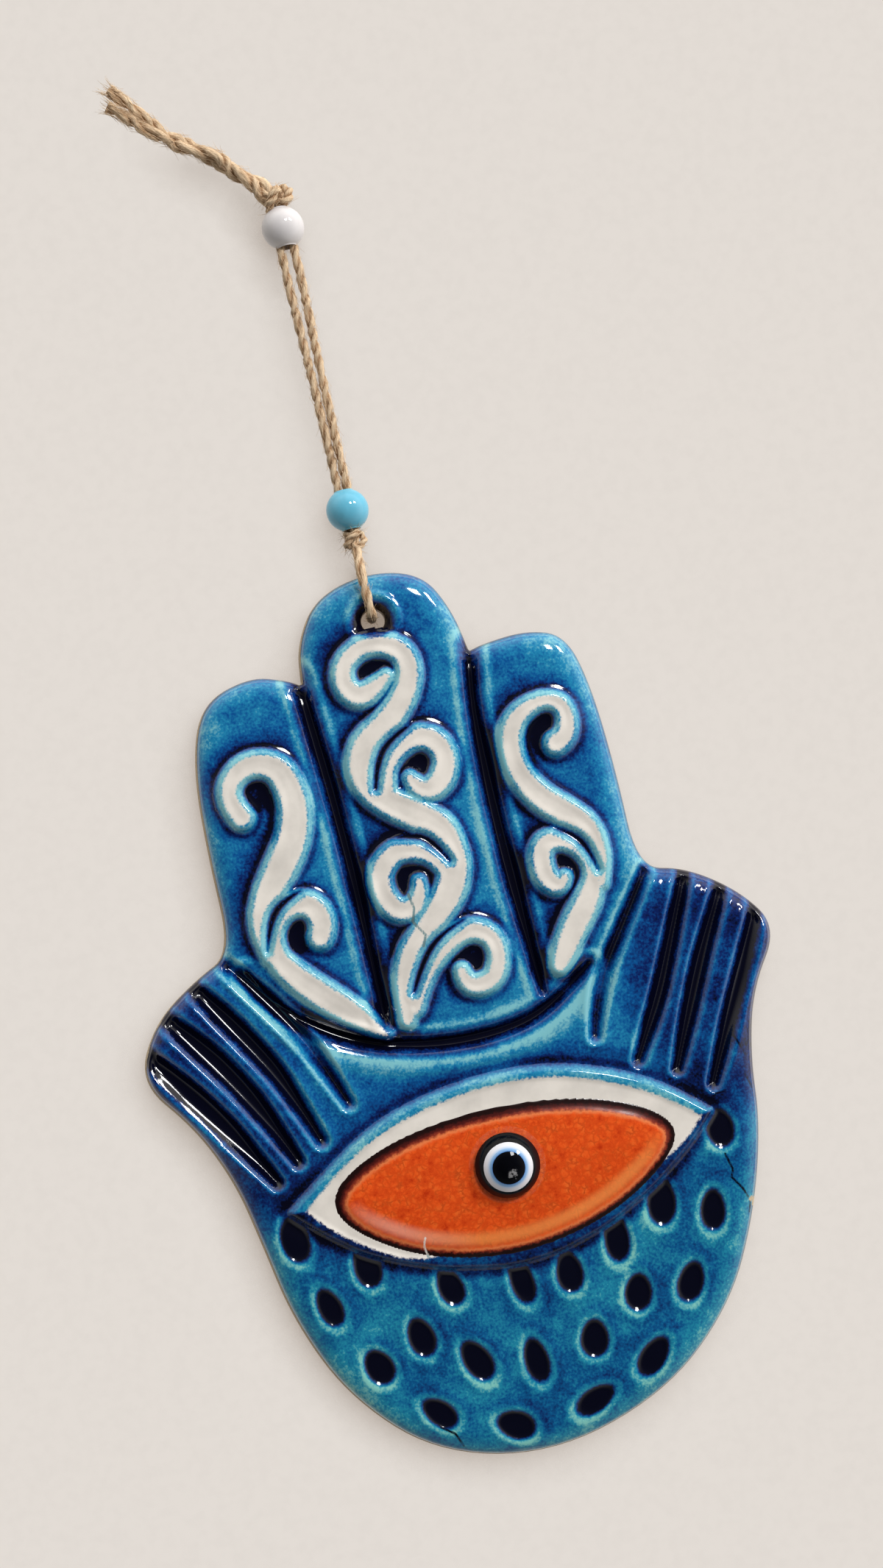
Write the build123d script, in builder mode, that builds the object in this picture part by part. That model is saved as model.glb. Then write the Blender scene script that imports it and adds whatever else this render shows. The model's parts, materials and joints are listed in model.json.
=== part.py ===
from build123d import *
import math
import os

# Hamsa hand wall ornament: a glazed pottery hand on jute string with two glass beads.
# Millimetres. +Z is up, the front faces -Y, and X runs to the viewer's right.
# The origin is the hanging point, between the two strands just under the white bead.

# String and its running gaps
CORD_D = 1.7                # thickness of the jute
RUN_GAP = 0.3               # room between pieces that move on each other
STRAND_GAP_TOP = 0.5        # daylight between the two strands at the upper knot
STRAND_GAP_LOW = 0.1        # and at the lower knot
LEG_GAP = 0.2               # between the two legs of the loop at the lower knot

# Beads
BEAD_PLAY = 0.35            # room between the strands and the wall of a bead's bore
WHITE_BEAD_D = 8.0
WHITE_BEAD_Z = 2.4
TURQUOISE_BEAD_D = 8.0
TURQUOISE_BEAD_Z = -52.0

# Knots
UPPER_KNOT_D = 6.4
UPPER_KNOT_H = 4.2
UPPER_KNOT_WRAPS = 2
UPPER_KNOT_BULGE = 0.45     # how far each wrap swells past the seam beside it
TAIL_SEAT = 1.5             # from the upper knot's middle to the face that the tails leave
TAIL_RISE = 127.0           # direction of the tails at the knot, degrees from +X towards +Z
LOWER_KNOT_R = 2.6
LOWER_KNOT_WRAPS = 3
LOWER_KNOT_BULGE = 0.25
KNOT_RIM = 0.2              # rim of the lower knot's flat top outside the strands

# Hand plaque
HAND_W = 120.4              # width across the two thumbs
HAND_H = 166.7              # height from the middle finger's tip to the heel of the palm
HAND_TOP = -64.9            # the middle finger's tip
PLATE_T = 5.5               # clay thickness at the ground of the relief
PLATE_BACK = 2.95           # back face, behind the plane of the strands
FRONT_EDGE_R = 1.8          # rounding of the front rim
BACK_EDGE_R = 0.8           # rounding of the back rim
HOLE_X = 0.0
HOLE_Z = -73.3
HOLE_D = 4.4
HOLE_FRONT_R = 1.5          # rounding of the hole's front mouth
HOLE_BACK_R = 1.0           # rounding of the hole's back mouth
LEG_SPREAD_DROP = 3.3       # how far under the loop's top its legs have spread to the plaque's two faces

# Relief on the plaque
SCROLL_H = 1.6
WIDE_SCROLL_W = 4.4         # stems on the outer fingers
NARROW_SCROLL_W = 3.4       # stem of the middle finger and all curls
GROOVE_DEPTH = 1.2
FINGER_GROOVE_W = 2.2
SMILE_GROOVE_W = 2.4
FRINGE_GROOVE_W = 2.6
DIMPLE_W = 4.4
DIMPLE_L = 7.0
DIMPLE_DEPTH = 1.3
JOIN_SPECK = 0.01           # shortest edge kept where a stroke's pieces join
CORNER_SHARE = 0.45         # how much of a run each rounded corner takes, at most

# Painted eye and the glass eye on it
ALMOND_LEFT = 40.0          # reach of the white almond from the middle of the glass eye
ALMOND_RIGHT = 38.3
ALMOND_UP = 16.2
ALMOND_DOWN = 17.8
ALMOND_H = 1.2
ALMOND_EDGE_R = 0.7
IRIS_LEFT = 32.7
IRIS_RIGHT = 31.6
IRIS_UP = 10.4
IRIS_DOWN = 16.2
IRIS_H = 1.0
IRIS_EDGE_R = 0.7
GLUE_T = 0.3                # glue film under the glass
GLUE_R = 7.1
GLUE_RISE = 0.5             # how far the glue climbs the glass
GLASS_R = 6.0
GLASS_H = 4.2
WHITE_RING_R = 4.55
BLUE_RING_R = 3.5
PUPIL_R = 3.0
INLAY_FLOOR = 1.4           # dark glass left under the inlaid rings

# The lists of (x, z) below draw a hand of this size as it is seen from the front.
# They are stretched to the width and height above.
DRAWN_W = 120.4
DRAWN_H = 166.7
EYE = (1.7, -177.0)         # middle of the glass eye

# Outline of the hand as the corners of a control polygon, from the notch left of the middle finger, clockwise.
# The two notches stay tight.
NOTCH_R = 0.9
OUTLINE = [
    (-15.6, -82.4), (-14.9, -74.6), (-9.8, -66.7), (0.8, -63.9), (11.0, -66.4), (15.0, -74.4),
    (16.6, -83.2), (27.5, -81.7), (34.4, -84.2), (37.4, -94.0), (38.4, -111.0), (38.3, -129.6),
    (46.8, -131.2), (56.2, -138.0), (61.6, -146.2), (54.4, -156.4), (51.1, -168.6), (50.0, -181.5),
    (45.0, -197.5), (37.0, -212.8), (22.0, -225.8), (-1.0, -232.4), (-22.5, -227.4), (-36.3, -213.5),
    (-43.4, -197.0), (-46.1, -181.0), (-48.4, -169.4), (-53.4, -158.0), (-61.6, -147.6), (-56.3, -137.4),
    (-47.0, -131.2), (-39.6, -127.9), (-39.8, -110.0), (-39.0, -93.0), (-35.0, -81.6), (-25.2, -78.4),
]
NOTCHES = (0, 6)            # places of the two notches in OUTLINE

# Scrolls as the middle lines of their strokes (x, z), each stem from its curl downwards
LEFT_STEM = [
    (-31.5, -104.5), (-34.0, -100.0), (-33.0, -95.5), (-29.0, -93.8), (-24.5, -94.9), (-22.3, -100.0),
    (-22.7, -106.0), (-25.5, -112.0), (-31.0, -118.5), (-33.3, -124.0), (-31.5, -130.0), (-28.0, -136.5),
    (-22.0, -143.0), (-15.8, -148.2),
]
LEFT_CURL = [
    (-32.0, -128.0), (-29.5, -123.5), (-25.0, -121.5), (-21.6, -122.4), (-20.5, -125.4), (-22.3, -128.4),
]
MIDDLE_STEM = [
    (0.0, -84.7), (-4.5, -86.6), (-7.3, -82.6), (-5.4, -78.9), (-0.8, -77.9), (3.4, -79.7), (4.5, -83.7),
    (3.3, -88.2), (0.0, -91.6), (-4.2, -95.0), (-8.2, -98.6), (-9.0, -102.2), (-7.4, -105.7), (-4.0, -108.9),
    (0.2, -111.4), (4.2, -114.4), (5.3, -118.0), (4.6, -122.0), (2.4, -126.2), (-1.2, -129.6), (-5.0, -133.2),
    (-8.0, -138.0), (-9.2, -142.2), (-9.9, -147.0),
]
MIDDLE_CURLS = [
    [(-5.0, -105.0), (-3.6, -100.8), (0.0, -97.3), (4.0, -96.3), (7.0, -98.5), (7.8, -102.2), (6.0, -105.8),
     (3.0, -106.2)],
    [(3.0, -119.5), (0.0, -116.7), (-4.0, -115.8), (-7.6, -117.0), (-9.7, -120.2), (-9.4, -124.0),
     (-6.8, -126.4)],
    [(-8.5, -143.5), (-6.0, -140.3), (-2.0, -136.8), (2.0, -134.4), (5.5, -133.5), (8.3, -135.6),
     (8.8, -139.2), (7.2, -142.5)],
]
RIGHT_STEM = [
    (28.0, -103.5), (30.8, -101.7), (31.2, -98.5), (29.4, -95.9), (26.3, -94.9), (22.4, -95.9), (19.6, -99.1),
    (19.2, -103.6), (20.6, -108.6), (23.6, -112.6), (27.6, -115.6), (30.9, -118.5), (31.9, -122.2),
    (31.0, -126.8), (27.2, -132.4), (24.0, -137.0), (20.2, -142.6),
]
RIGHT_CURL = [
    (30.3, -128.0), (29.0, -124.0), (26.5, -121.1), (23.1, -120.2), (20.6, -122.0), (19.9, -125.4),
    (21.2, -128.2),
]

# Grooves that the dark glaze fills, as middle lines (x, z)
FINGER_GROOVES = [
    [(-15.4, -79.0), (-14.6, -100.0), (-13.9, -125.0), (-13.4, -146.5)],
    [(16.2, -80.0), (14.7, -100.0), (14.6, -118.0), (15.2, -134.0), (15.7, -147.0)],
]
SMILE_GROOVE = [
    (-36.5, -134.2), (-29.5, -142.4), (-19.5, -149.6), (-6.0, -152.9), (7.0, -153.3), (17.0, -150.6),
    (24.5, -145.2),
]
FRINGE_GROOVES = [
    [(-41.5, -125.5), (-36.3, -135.4), (-30.4, -146.4), (-24.3, -158.6)],
    [(-50.0, -129.0), (-43.4, -138.2), (-37.0, -149.6), (-30.9, -163.6)],
    [(-56.5, -134.0), (-47.8, -142.4), (-40.2, -155.8), (-35.4, -166.8)],
    [(-61.5, -142.0), (-52.4, -149.2), (-45.6, -160.0), (-40.7, -169.8)],
    [(41.0, -127.0), (33.0, -138.6), (26.6, -149.6), (23.6, -157.0)],
    [(48.6, -130.0), (39.6, -143.0), (33.8, -155.0), (30.6, -163.2)],
    [(55.5, -133.5), (45.2, -147.0), (40.0, -157.6), (37.3, -166.2)],
    [(61.5, -139.5), (52.0, -149.6), (47.0, -159.6), (43.4, -170.2)],
]

# Dimples: middle (x, z) and lean in degrees, anticlockwise from upright
DIMPLES = [
    (-39.6, -182.0, 10), (-27.7, -190.0, 12), (-36.0, -195.4, 16), (-13.5, -197.0, 18), (-0.4, -198.8, 8),
    (8.6, -199.4, -2), (18.6, -195.4, -6), (28.2, -190.8, -14), (37.2, -194.2, -12), (42.0, -179.9, -6),
    (-20.8, -204.6, 12), (-29.6, -208.2, 22), (-11.7, -211.2, 24), (-1.0, -213.6, 4), (10.4, -212.2, -10),
    (20.2, -205.8, -14), (30.2, -206.2, -28), (-20.6, -219.0, 44), (-7.4, -224.4, 62), (8.0, -223.4, -68),
    (20.4, -218.0, -46),
]

# Free ends of the string above the upper knot (x, y, z); the first run of each starts square off the knot
TAIL_FIRST_RUN = 4.4
TAIL_LEFT_ROUTE = [
    (-8.1, -0.8, 15.4), (-11.4, -1.4, 18.4), (-15.0, -2.1, 20.9), (-18.6, -2.8, 23.1), (-21.8, -3.5, 25.8),
    (-24.6, -4.1, 28.4), (-27.0, -4.6, 30.2),
]
TAIL_RIGHT_ROUTE = [
    (-6.6, -0.6, 16.7), (-9.9, -1.1, 20.1), (-13.9, -1.8, 22.7), (-17.6, -2.5, 25.0), (-20.6, -3.2, 27.6),
    (-23.3, -3.9, 30.6), (-26.2, -4.6, 33.2),
]

# Places worked out from the sizes above
STRAND_TOP_X = (CORD_D + STRAND_GAP_TOP) / 2
STRAND_LOW_X = (CORD_D + STRAND_GAP_LOW) / 2
LEG_TOP_Y = (CORD_D + LEG_GAP) / 2
WHITE_BORE_R = STRAND_TOP_X + CORD_D / 2 + BEAD_PLAY
TURQUOISE_BORE_R = STRAND_LOW_X + CORD_D / 2 + BEAD_PLAY
UPPER_KNOT_BASE = WHITE_BEAD_Z + math.sqrt((WHITE_BEAD_D / 2) ** 2 - WHITE_BORE_R ** 2) + RUN_GAP
UPPER_KNOT_Z = UPPER_KNOT_BASE + UPPER_KNOT_H / 2
LOWER_KNOT_TOP = TURQUOISE_BEAD_Z - math.sqrt((TURQUOISE_BEAD_D / 2) ** 2 - TURQUOISE_BORE_R ** 2) - RUN_GAP
KNOT_FLAT_R = STRAND_LOW_X + CORD_D / 2 + KNOT_RIM
LOWER_KNOT_Z = LOWER_KNOT_TOP - math.sqrt(LOWER_KNOT_R ** 2 - KNOT_FLAT_R ** 2)
LEG_TOP_Z = LOWER_KNOT_Z - LOWER_KNOT_R - RUN_GAP
LEG_SPREAD_Z = LEG_TOP_Z - LEG_SPREAD_DROP
PLATE_FRONT = PLATE_T - PLATE_BACK
LEG_STAND = RUN_GAP + CORD_D / 2
CORD_IN_HOLE_Z = HOLE_Z + HOLE_D / 2 - LEG_STAND

# Sketch planes that face the viewer: an offset of h lies h in front of the strands
GROUND = Plane.XZ.offset(PLATE_FRONT)
BACK = Plane.XZ.offset(-PLATE_BACK)
ALMOND_TOP = PLATE_FRONT + ALMOND_H
IRIS_TOP = ALMOND_TOP + IRIS_H
GLASS_FOOT = IRIS_TOP + GLUE_T


def fitted(x, z):
    """A point of the drawing, stretched to the hand's own width and height from the middle finger's tip."""
    return x * HAND_W / DRAWN_W, HAND_TOP + (z - HAND_TOP) * HAND_H / DRAWN_H


def corner_radii(points, closed=False):
    """Fillet radius at each corner: a share of the shorter run over the tangent of half the turn."""
    route = [Vector(*point) for point in points]
    if closed:
        route = [route[-1]] + route + [route[0]]
    radii = []
    for before, corner, after in zip(route, route[1:], route[2:]):
        turn = math.radians((corner - before).get_angle(after - corner))
        shorter = min((corner - before).length, (after - corner).length)
        radii.append(CORNER_SHARE * shorter / math.tan(turn / 2))
    return radii


def stroke(points, width):
    """A flat band of one width with round ends that follows a rounded line, free of specks at its joins."""
    line = [fitted(x, z) for x, z in points]
    with BuildSketch() as band:
        with BuildLine():
            FilletPolyline(*line, radius=corner_radii(line))
            offset(amount=width / 2, min_edge_length=JOIN_SPECK)
        make_face()
    return band.sketch


EYE_X, EYE_Z = fitted(*EYE)


def almond(left, right, up, down):
    """An almond of two arcs that meet at its two tips, round the middle of the glass eye."""
    with BuildSketch() as leaf:
        with BuildLine():
            ThreePointArc((EYE_X - left, EYE_Z), (EYE_X, EYE_Z + up), (EYE_X + right, EYE_Z))
            ThreePointArc((EYE_X + right, EYE_Z), (EYE_X, EYE_Z - down), (EYE_X - left, EYE_Z))
        make_face()
    return leaf.sketch


def report_route(name, radii, solid, length):
    """Print the bend radii of a cord's tube, and its volume against section times length."""
    section = math.pi * CORD_D ** 2 / 4
    bends = ", ".join(f"{radius:.1f}" for radius in radii)
    share = solid.volume / (section * length)
    print(f"{name}: radii {bends}; length {length:.1f}; volume ratio {share:.4f}")


def wrap_profile(reach, bulge, wraps, start, end):
    """Points of a knot's side: seams on a circle drawn in by the bulge, swells out on the circle itself."""
    steps = 2 * wraps
    marks = [start + (end - start) * step / steps for step in range(steps + 1)]
    swell = [reach - bulge * (1 - step % 2) for step in range(steps + 1)]
    turns = [math.radians(mark) for mark in marks]
    return [(size * math.cos(turn), size * math.sin(turn)) for size, turn in zip(swell, turns)]


# Hand plaque: outline, rounded rims, cord hole, glaze grooves and dimples
outline = [fitted(x, z) for x, z in OUTLINE]
outline_radii = corner_radii(outline, closed=True)
for notch in NOTCHES:
    outline_radii[notch] = NOTCH_R

with BuildPart() as hand_plaque:
    with BuildSketch(BACK):
        with BuildLine():
            FilletPolyline(*outline, radius=outline_radii, close=True)
        make_face()
        with Locations((HOLE_X, HOLE_Z)):
            Circle(HOLE_D / 2, mode=Mode.SUBTRACT)
    extrude(amount=PLATE_T)
    front_face = hand_plaque.faces().sort_by(Axis.Y)[0]
    back_face = hand_plaque.faces().sort_by(Axis.Y)[-1]
    front_rim, front_mouth = front_face.outer_wire().edges(), front_face.inner_wires()[0].edges()
    back_rim, back_mouth = back_face.outer_wire().edges(), back_face.inner_wires()[0].edges()
    fillet(front_mouth, HOLE_FRONT_R)
    fillet(back_mouth, HOLE_BACK_R)
    fillet(front_rim, FRONT_EDGE_R)
    fillet(back_rim, BACK_EDGE_R)
    with BuildSketch(GROUND):
        for groove in FINGER_GROOVES:
            add(stroke(groove, FINGER_GROOVE_W))
        add(stroke(SMILE_GROOVE, SMILE_GROOVE_W))
        for groove in FRINGE_GROOVES:
            add(stroke(groove, FRINGE_GROOVE_W))
    extrude(amount=-GROOVE_DEPTH, mode=Mode.SUBTRACT)
    with BuildSketch(GROUND):
        for x, z, lean in DIMPLES:
            with Locations(fitted(x, z)):
                Ellipse(DIMPLE_W / 2, DIMPLE_L / 2, rotation=lean)
    extrude(amount=-DIMPLE_DEPTH, mode=Mode.SUBTRACT)
hand_plaque.part.label = "hand_plaque"

# White scrolls, raised on the three fingers
with BuildPart() as white_scroll_left:
    with BuildSketch(GROUND):
        add(stroke(LEFT_STEM, WIDE_SCROLL_W))
        add(stroke(LEFT_CURL, NARROW_SCROLL_W))
    extrude(amount=SCROLL_H)
white_scroll_left.part.label = "white_scroll_left"

with BuildPart() as white_scroll_middle:
    with BuildSketch(GROUND):
        add(stroke(MIDDLE_STEM, NARROW_SCROLL_W))
        for curl in MIDDLE_CURLS:
            add(stroke(curl, NARROW_SCROLL_W))
    extrude(amount=SCROLL_H)
white_scroll_middle.part.label = "white_scroll_middle"

with BuildPart() as white_scroll_right:
    with BuildSketch(GROUND):
        add(stroke(RIGHT_STEM, WIDE_SCROLL_W))
        add(stroke(RIGHT_CURL, NARROW_SCROLL_W))
    extrude(amount=SCROLL_H)
white_scroll_right.part.label = "white_scroll_right"

# Painted eye: white almond, then the orange iris on it
with BuildPart() as eye_white_almond:
    with BuildSketch(GROUND):
        add(almond(ALMOND_LEFT, ALMOND_RIGHT, ALMOND_UP, ALMOND_DOWN))
    extrude(amount=ALMOND_H)
    fillet(eye_white_almond.faces().sort_by(Axis.Y)[0].edges(), ALMOND_EDGE_R)
eye_white_almond.part.label = "eye_white_almond"

with BuildPart() as eye_orange_iris:
    with BuildSketch(Plane.XZ.offset(ALMOND_TOP)):
        add(almond(IRIS_LEFT, IRIS_RIGHT, IRIS_UP, IRIS_DOWN))
    extrude(amount=IRIS_H)
    fillet(eye_orange_iris.faces().sort_by(Axis.Y)[0].edges(), IRIS_EDGE_R)
eye_orange_iris.part.label = "eye_orange_iris"

# Glass eye: a domed cabochon with inlaid rings, set in a bed of clear glue
EYE_AXIS = Plane(origin=(EYE_X, 0, EYE_Z), x_dir=(1, 0, 0), z_dir=(0, 0, 1))
EYE_SPIN = Axis((EYE_X, 0, EYE_Z), (0, 1, 0))

with BuildPart() as eye_glue_bed:
    with BuildSketch(EYE_AXIS):
        with BuildLine():
            Polyline((0, -IRIS_TOP), (GLUE_R, -IRIS_TOP), (GLASS_R, -GLASS_FOOT - GLUE_RISE),
                     (GLASS_R, -GLASS_FOOT), (0, -GLASS_FOOT), (0, -IRIS_TOP))
        make_face()
    revolve(axis=EYE_SPIN)
eye_glue_bed.part.label = "eye_glue_bed"


def dome_point(radius):
    """A point of the glass's surface (x, y) at a radius: a cap of a ball over a short straight foot."""
    rise = GLASS_H - GLUE_RISE
    ball = (GLASS_R ** 2 + rise ** 2) / (2 * rise)
    return radius, ball - GLASS_FOOT - GLASS_H - math.sqrt(ball ** 2 - radius ** 2)


def inlay(inner, outer):
    """A ring of glass let into the dome, from the inlay's floor to the dome's surface."""
    floor = -GLASS_FOOT - INLAY_FLOOR
    middle = (inner + outer) / 2
    with BuildPart() as ring:
        with BuildSketch(EYE_AXIS):
            with BuildLine():
                Polyline(dome_point(inner), (inner, floor), (outer, floor), dome_point(outer))
                ThreePointArc(dome_point(outer), dome_point(middle), dome_point(inner))
            make_face()
        revolve(axis=EYE_SPIN)
    return ring.part


with BuildPart() as glass_eye_base:
    with BuildSketch(EYE_AXIS):
        with BuildLine():
            floor = -GLASS_FOOT - INLAY_FLOOR
            shoulder = (WHITE_RING_R + GLASS_R) / 2
            Polyline(dome_point(WHITE_RING_R), (WHITE_RING_R, floor), (0, floor), (0, -GLASS_FOOT),
                     (GLASS_R, -GLASS_FOOT), dome_point(GLASS_R))
            ThreePointArc(dome_point(GLASS_R), dome_point(shoulder), dome_point(WHITE_RING_R))
        make_face()
    revolve(axis=EYE_SPIN)
glass_eye_base.part.label = "glass_eye_base"

with BuildPart() as glass_eye_white_ring:
    add(inlay(BLUE_RING_R, WHITE_RING_R))
glass_eye_white_ring.part.label = "glass_eye_white_ring"

with BuildPart() as glass_eye_blue_ring:
    add(inlay(PUPIL_R, BLUE_RING_R))
glass_eye_blue_ring.part.label = "glass_eye_blue_ring"

with BuildPart() as glass_eye_pupil:
    add(inlay(0, PUPIL_R))
glass_eye_pupil.part.label = "glass_eye_pupil"

# Glass beads, bored wide enough for both strands
with BuildPart() as white_bead:
    with Locations((0, 0, WHITE_BEAD_Z)):
        Sphere(WHITE_BEAD_D / 2)
        Cylinder(WHITE_BORE_R, WHITE_BEAD_D, mode=Mode.SUBTRACT)
white_bead.part.label = "white_bead"

with BuildPart() as turquoise_bead:
    with Locations((0, 0, TURQUOISE_BEAD_Z)):
        Sphere(TURQUOISE_BEAD_D / 2)
        Cylinder(TURQUOISE_BORE_R, TURQUOISE_BEAD_D, mode=Mode.SUBTRACT)
turquoise_bead.part.label = "turquoise_bead"

# Upper knot: a barrel of wraps, cut square where the two tails leave it
TAIL_DIR = Vector(math.cos(math.radians(TAIL_RISE)), 0, math.sin(math.radians(TAIL_RISE)))
TAIL_SEAT_AT = Vector(0, 0, UPPER_KNOT_Z) + TAIL_DIR * TAIL_SEAT
WRAP_H = UPPER_KNOT_H / UPPER_KNOT_WRAPS

with BuildPart() as upper_knot:
    with BuildSketch(Plane.XZ):
        with BuildLine():
            side = UPPER_KNOT_D / 2 - UPPER_KNOT_BULGE
            for wrap in range(UPPER_KNOT_WRAPS):
                low = UPPER_KNOT_BASE + wrap * WRAP_H
                ThreePointArc((side, low), (UPPER_KNOT_D / 2, low + WRAP_H / 2), (side, low + WRAP_H))
            top = UPPER_KNOT_BASE + UPPER_KNOT_H
            Polyline((side, top), (0, top), (0, UPPER_KNOT_BASE), (side, UPPER_KNOT_BASE))
        make_face()
    revolve(axis=Axis.Z)
    split(bisect_by=Plane(origin=TAIL_SEAT_AT, z_dir=TAIL_DIR), keep=Keep.BOTTOM)
upper_knot.part.label = "upper_knot"

# Lower knot: wraps inside a ball round its middle, flat on top where the strands come in
FLAT_ANGLE = math.degrees(math.acos(KNOT_FLAT_R / LOWER_KNOT_R))
FOOT_ANGLE = -70.0

with BuildPart() as lower_knot:
    with BuildSketch(Plane.XZ):
        with BuildLine():
            profile = wrap_profile(LOWER_KNOT_R, LOWER_KNOT_BULGE, LOWER_KNOT_WRAPS, FLAT_ANGLE, FOOT_ANGLE)
            profile = [(x, LOWER_KNOT_Z + z) for x, z in profile]
            for wrap in range(LOWER_KNOT_WRAPS):
                ThreePointArc(*profile[2 * wrap:2 * wrap + 3])
            first, last = profile[0], profile[-1]
            Polyline(last, (0, last[1]), (0, LOWER_KNOT_TOP), (first[0], LOWER_KNOT_TOP), first)
        make_face()
    revolve(axis=Axis.Z)
lower_knot.part.label = "lower_knot"


def strand(side):
    """One straight strand between the knots, with level ends; side is -1 for left and 1 for right."""
    with BuildPart() as tube:
        with BuildSketch(Plane.XY.offset(LOWER_KNOT_TOP)):
            with Locations((side * STRAND_LOW_X, 0)):
                Circle(CORD_D / 2)
        with BuildSketch(Plane.XY.offset(UPPER_KNOT_BASE)):
            with Locations((side * STRAND_TOP_X, 0)):
                Circle(CORD_D / 2)
        loft()
    return tube.part


with BuildPart() as cord_strand_left:
    add(strand(-1))
cord_strand_left.part.label = "cord_strand_left"

with BuildPart() as cord_strand_right:
    add(strand(1))
cord_strand_right.part.label = "cord_strand_right"

# Loop through the hole: down the front, round the hole's two edges, and up the back
FRONT_LEG_Y = -PLATE_FRONT - LEG_STAND
BACK_LEG_Y = PLATE_BACK + LEG_STAND
LOOP_ROUTE = [
    (HOLE_X, -LEG_TOP_Y, LEG_TOP_Z), (HOLE_X, FRONT_LEG_Y, LEG_SPREAD_Z),
    (HOLE_X, FRONT_LEG_Y, CORD_IN_HOLE_Z), (HOLE_X, BACK_LEG_Y, CORD_IN_HOLE_Z),
    (HOLE_X, BACK_LEG_Y, LEG_SPREAD_Z), (HOLE_X, LEG_TOP_Y, LEG_TOP_Z),
]
loop_radii = corner_radii(LOOP_ROUTE)
loop_radii[1] = HOLE_FRONT_R + LEG_STAND
loop_radii[2] = HOLE_BACK_R + LEG_STAND

with BuildPart() as cord_hole_loop:
    with BuildLine() as loop_path:
        FilletPolyline(*LOOP_ROUTE, radius=loop_radii)
    with BuildSketch(Plane(origin=loop_path.wire() @ 0, z_dir=loop_path.wire() % 0)):
        Circle(CORD_D / 2)
    sweep()
cord_hole_loop.part.label = "cord_hole_loop"
report_route("cord_hole_loop", loop_radii, cord_hole_loop.part, loop_path.wire().length)


# Free tails: side by side off the upper knot's cut face, then up and apart
def tail_route(side, rest):
    """The tail's whole route; side is -1 for the lower tail and 1 for the upper one."""
    across = Vector(TAIL_DIR.Z, 0, -TAIL_DIR.X)
    start = TAIL_SEAT_AT + across * (side * (CORD_D + STRAND_GAP_LOW) / 2)
    return [tuple(start), tuple(start + TAIL_DIR * TAIL_FIRST_RUN)] + rest


def tail(name, route):
    """One free end as a tube along straight runs and tangent arcs."""
    radii = corner_radii(route)
    with BuildPart() as tube:
        with BuildLine() as path:
            FilletPolyline(*route, radius=radii)
        with BuildSketch(Plane(origin=path.wire() @ 0, z_dir=path.wire() % 0)):
            Circle(CORD_D / 2)
        sweep()
    report_route(name, radii, tube.part, path.wire().length)
    return tube.part


with BuildPart() as cord_tail_left:
    add(tail("cord_tail_left", tail_route(-1, TAIL_LEFT_ROUTE)))
cord_tail_left.part.label = "cord_tail_left"

with BuildPart() as cord_tail_right:
    add(tail("cord_tail_right", tail_route(1, TAIL_RIGHT_ROUTE)))
cord_tail_right.part.label = "cord_tail_right"

# One STEP file for each piece
os.makedirs("parts", exist_ok=True)
export_step(hand_plaque.part, "parts/hand_plaque.step")
export_step(white_scroll_left.part, "parts/white_scroll_left.step")
export_step(white_scroll_middle.part, "parts/white_scroll_middle.step")
export_step(white_scroll_right.part, "parts/white_scroll_right.step")
export_step(eye_white_almond.part, "parts/eye_white_almond.step")
export_step(eye_orange_iris.part, "parts/eye_orange_iris.step")
export_step(eye_glue_bed.part, "parts/eye_glue_bed.step")
export_step(glass_eye_base.part, "parts/glass_eye_base.step")
export_step(glass_eye_white_ring.part, "parts/glass_eye_white_ring.step")
export_step(glass_eye_blue_ring.part, "parts/glass_eye_blue_ring.step")
export_step(glass_eye_pupil.part, "parts/glass_eye_pupil.step")
export_step(white_bead.part, "parts/white_bead.step")
export_step(turquoise_bead.part, "parts/turquoise_bead.step")
export_step(upper_knot.part, "parts/upper_knot.step")
export_step(lower_knot.part, "parts/lower_knot.step")
export_step(cord_strand_left.part, "parts/cord_strand_left.step")
export_step(cord_strand_right.part, "parts/cord_strand_right.step")
export_step(cord_hole_loop.part, "parts/cord_hole_loop.step")
export_step(cord_tail_left.part, "parts/cord_tail_left.step")
export_step(cord_tail_right.part, "parts/cord_tail_right.step")
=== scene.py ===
import json
import math
from functools import lru_cache

import bpy
import numpy as np
from mathutils import Matrix, Vector
from mathutils.geometry import delaunay_2d_cdt


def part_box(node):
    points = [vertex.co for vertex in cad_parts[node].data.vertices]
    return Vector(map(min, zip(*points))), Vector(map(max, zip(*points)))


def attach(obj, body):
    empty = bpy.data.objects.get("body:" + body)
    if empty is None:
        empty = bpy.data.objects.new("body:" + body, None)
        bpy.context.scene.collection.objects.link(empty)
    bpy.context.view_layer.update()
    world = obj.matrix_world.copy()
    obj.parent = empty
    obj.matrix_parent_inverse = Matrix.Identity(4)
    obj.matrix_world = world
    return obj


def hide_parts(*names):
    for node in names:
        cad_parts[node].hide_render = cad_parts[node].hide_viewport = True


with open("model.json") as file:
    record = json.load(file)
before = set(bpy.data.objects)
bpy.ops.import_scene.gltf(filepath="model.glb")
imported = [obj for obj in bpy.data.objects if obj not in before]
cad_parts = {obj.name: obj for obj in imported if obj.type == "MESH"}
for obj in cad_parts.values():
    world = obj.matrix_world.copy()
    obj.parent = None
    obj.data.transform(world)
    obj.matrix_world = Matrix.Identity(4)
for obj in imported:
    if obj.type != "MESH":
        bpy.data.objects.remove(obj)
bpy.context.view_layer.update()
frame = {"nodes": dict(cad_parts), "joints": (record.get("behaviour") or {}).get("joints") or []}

bl_info = {
    "name": "Hamsa Hand Ornament",
    "version": (1, 0, 0),
    "blender": (4, 5, 0),
    "location": "View3D > Sidebar > Hamsa",
    "description": "Glazed pottery hand with scrolls and an eye, on jute string with two glass beads",
    "category": "Add Mesh",
}

# Shapes are worked out in millimetres, in the frame's own axes: x to the right, z up, the front towards -y.
MM = 0.001


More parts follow.
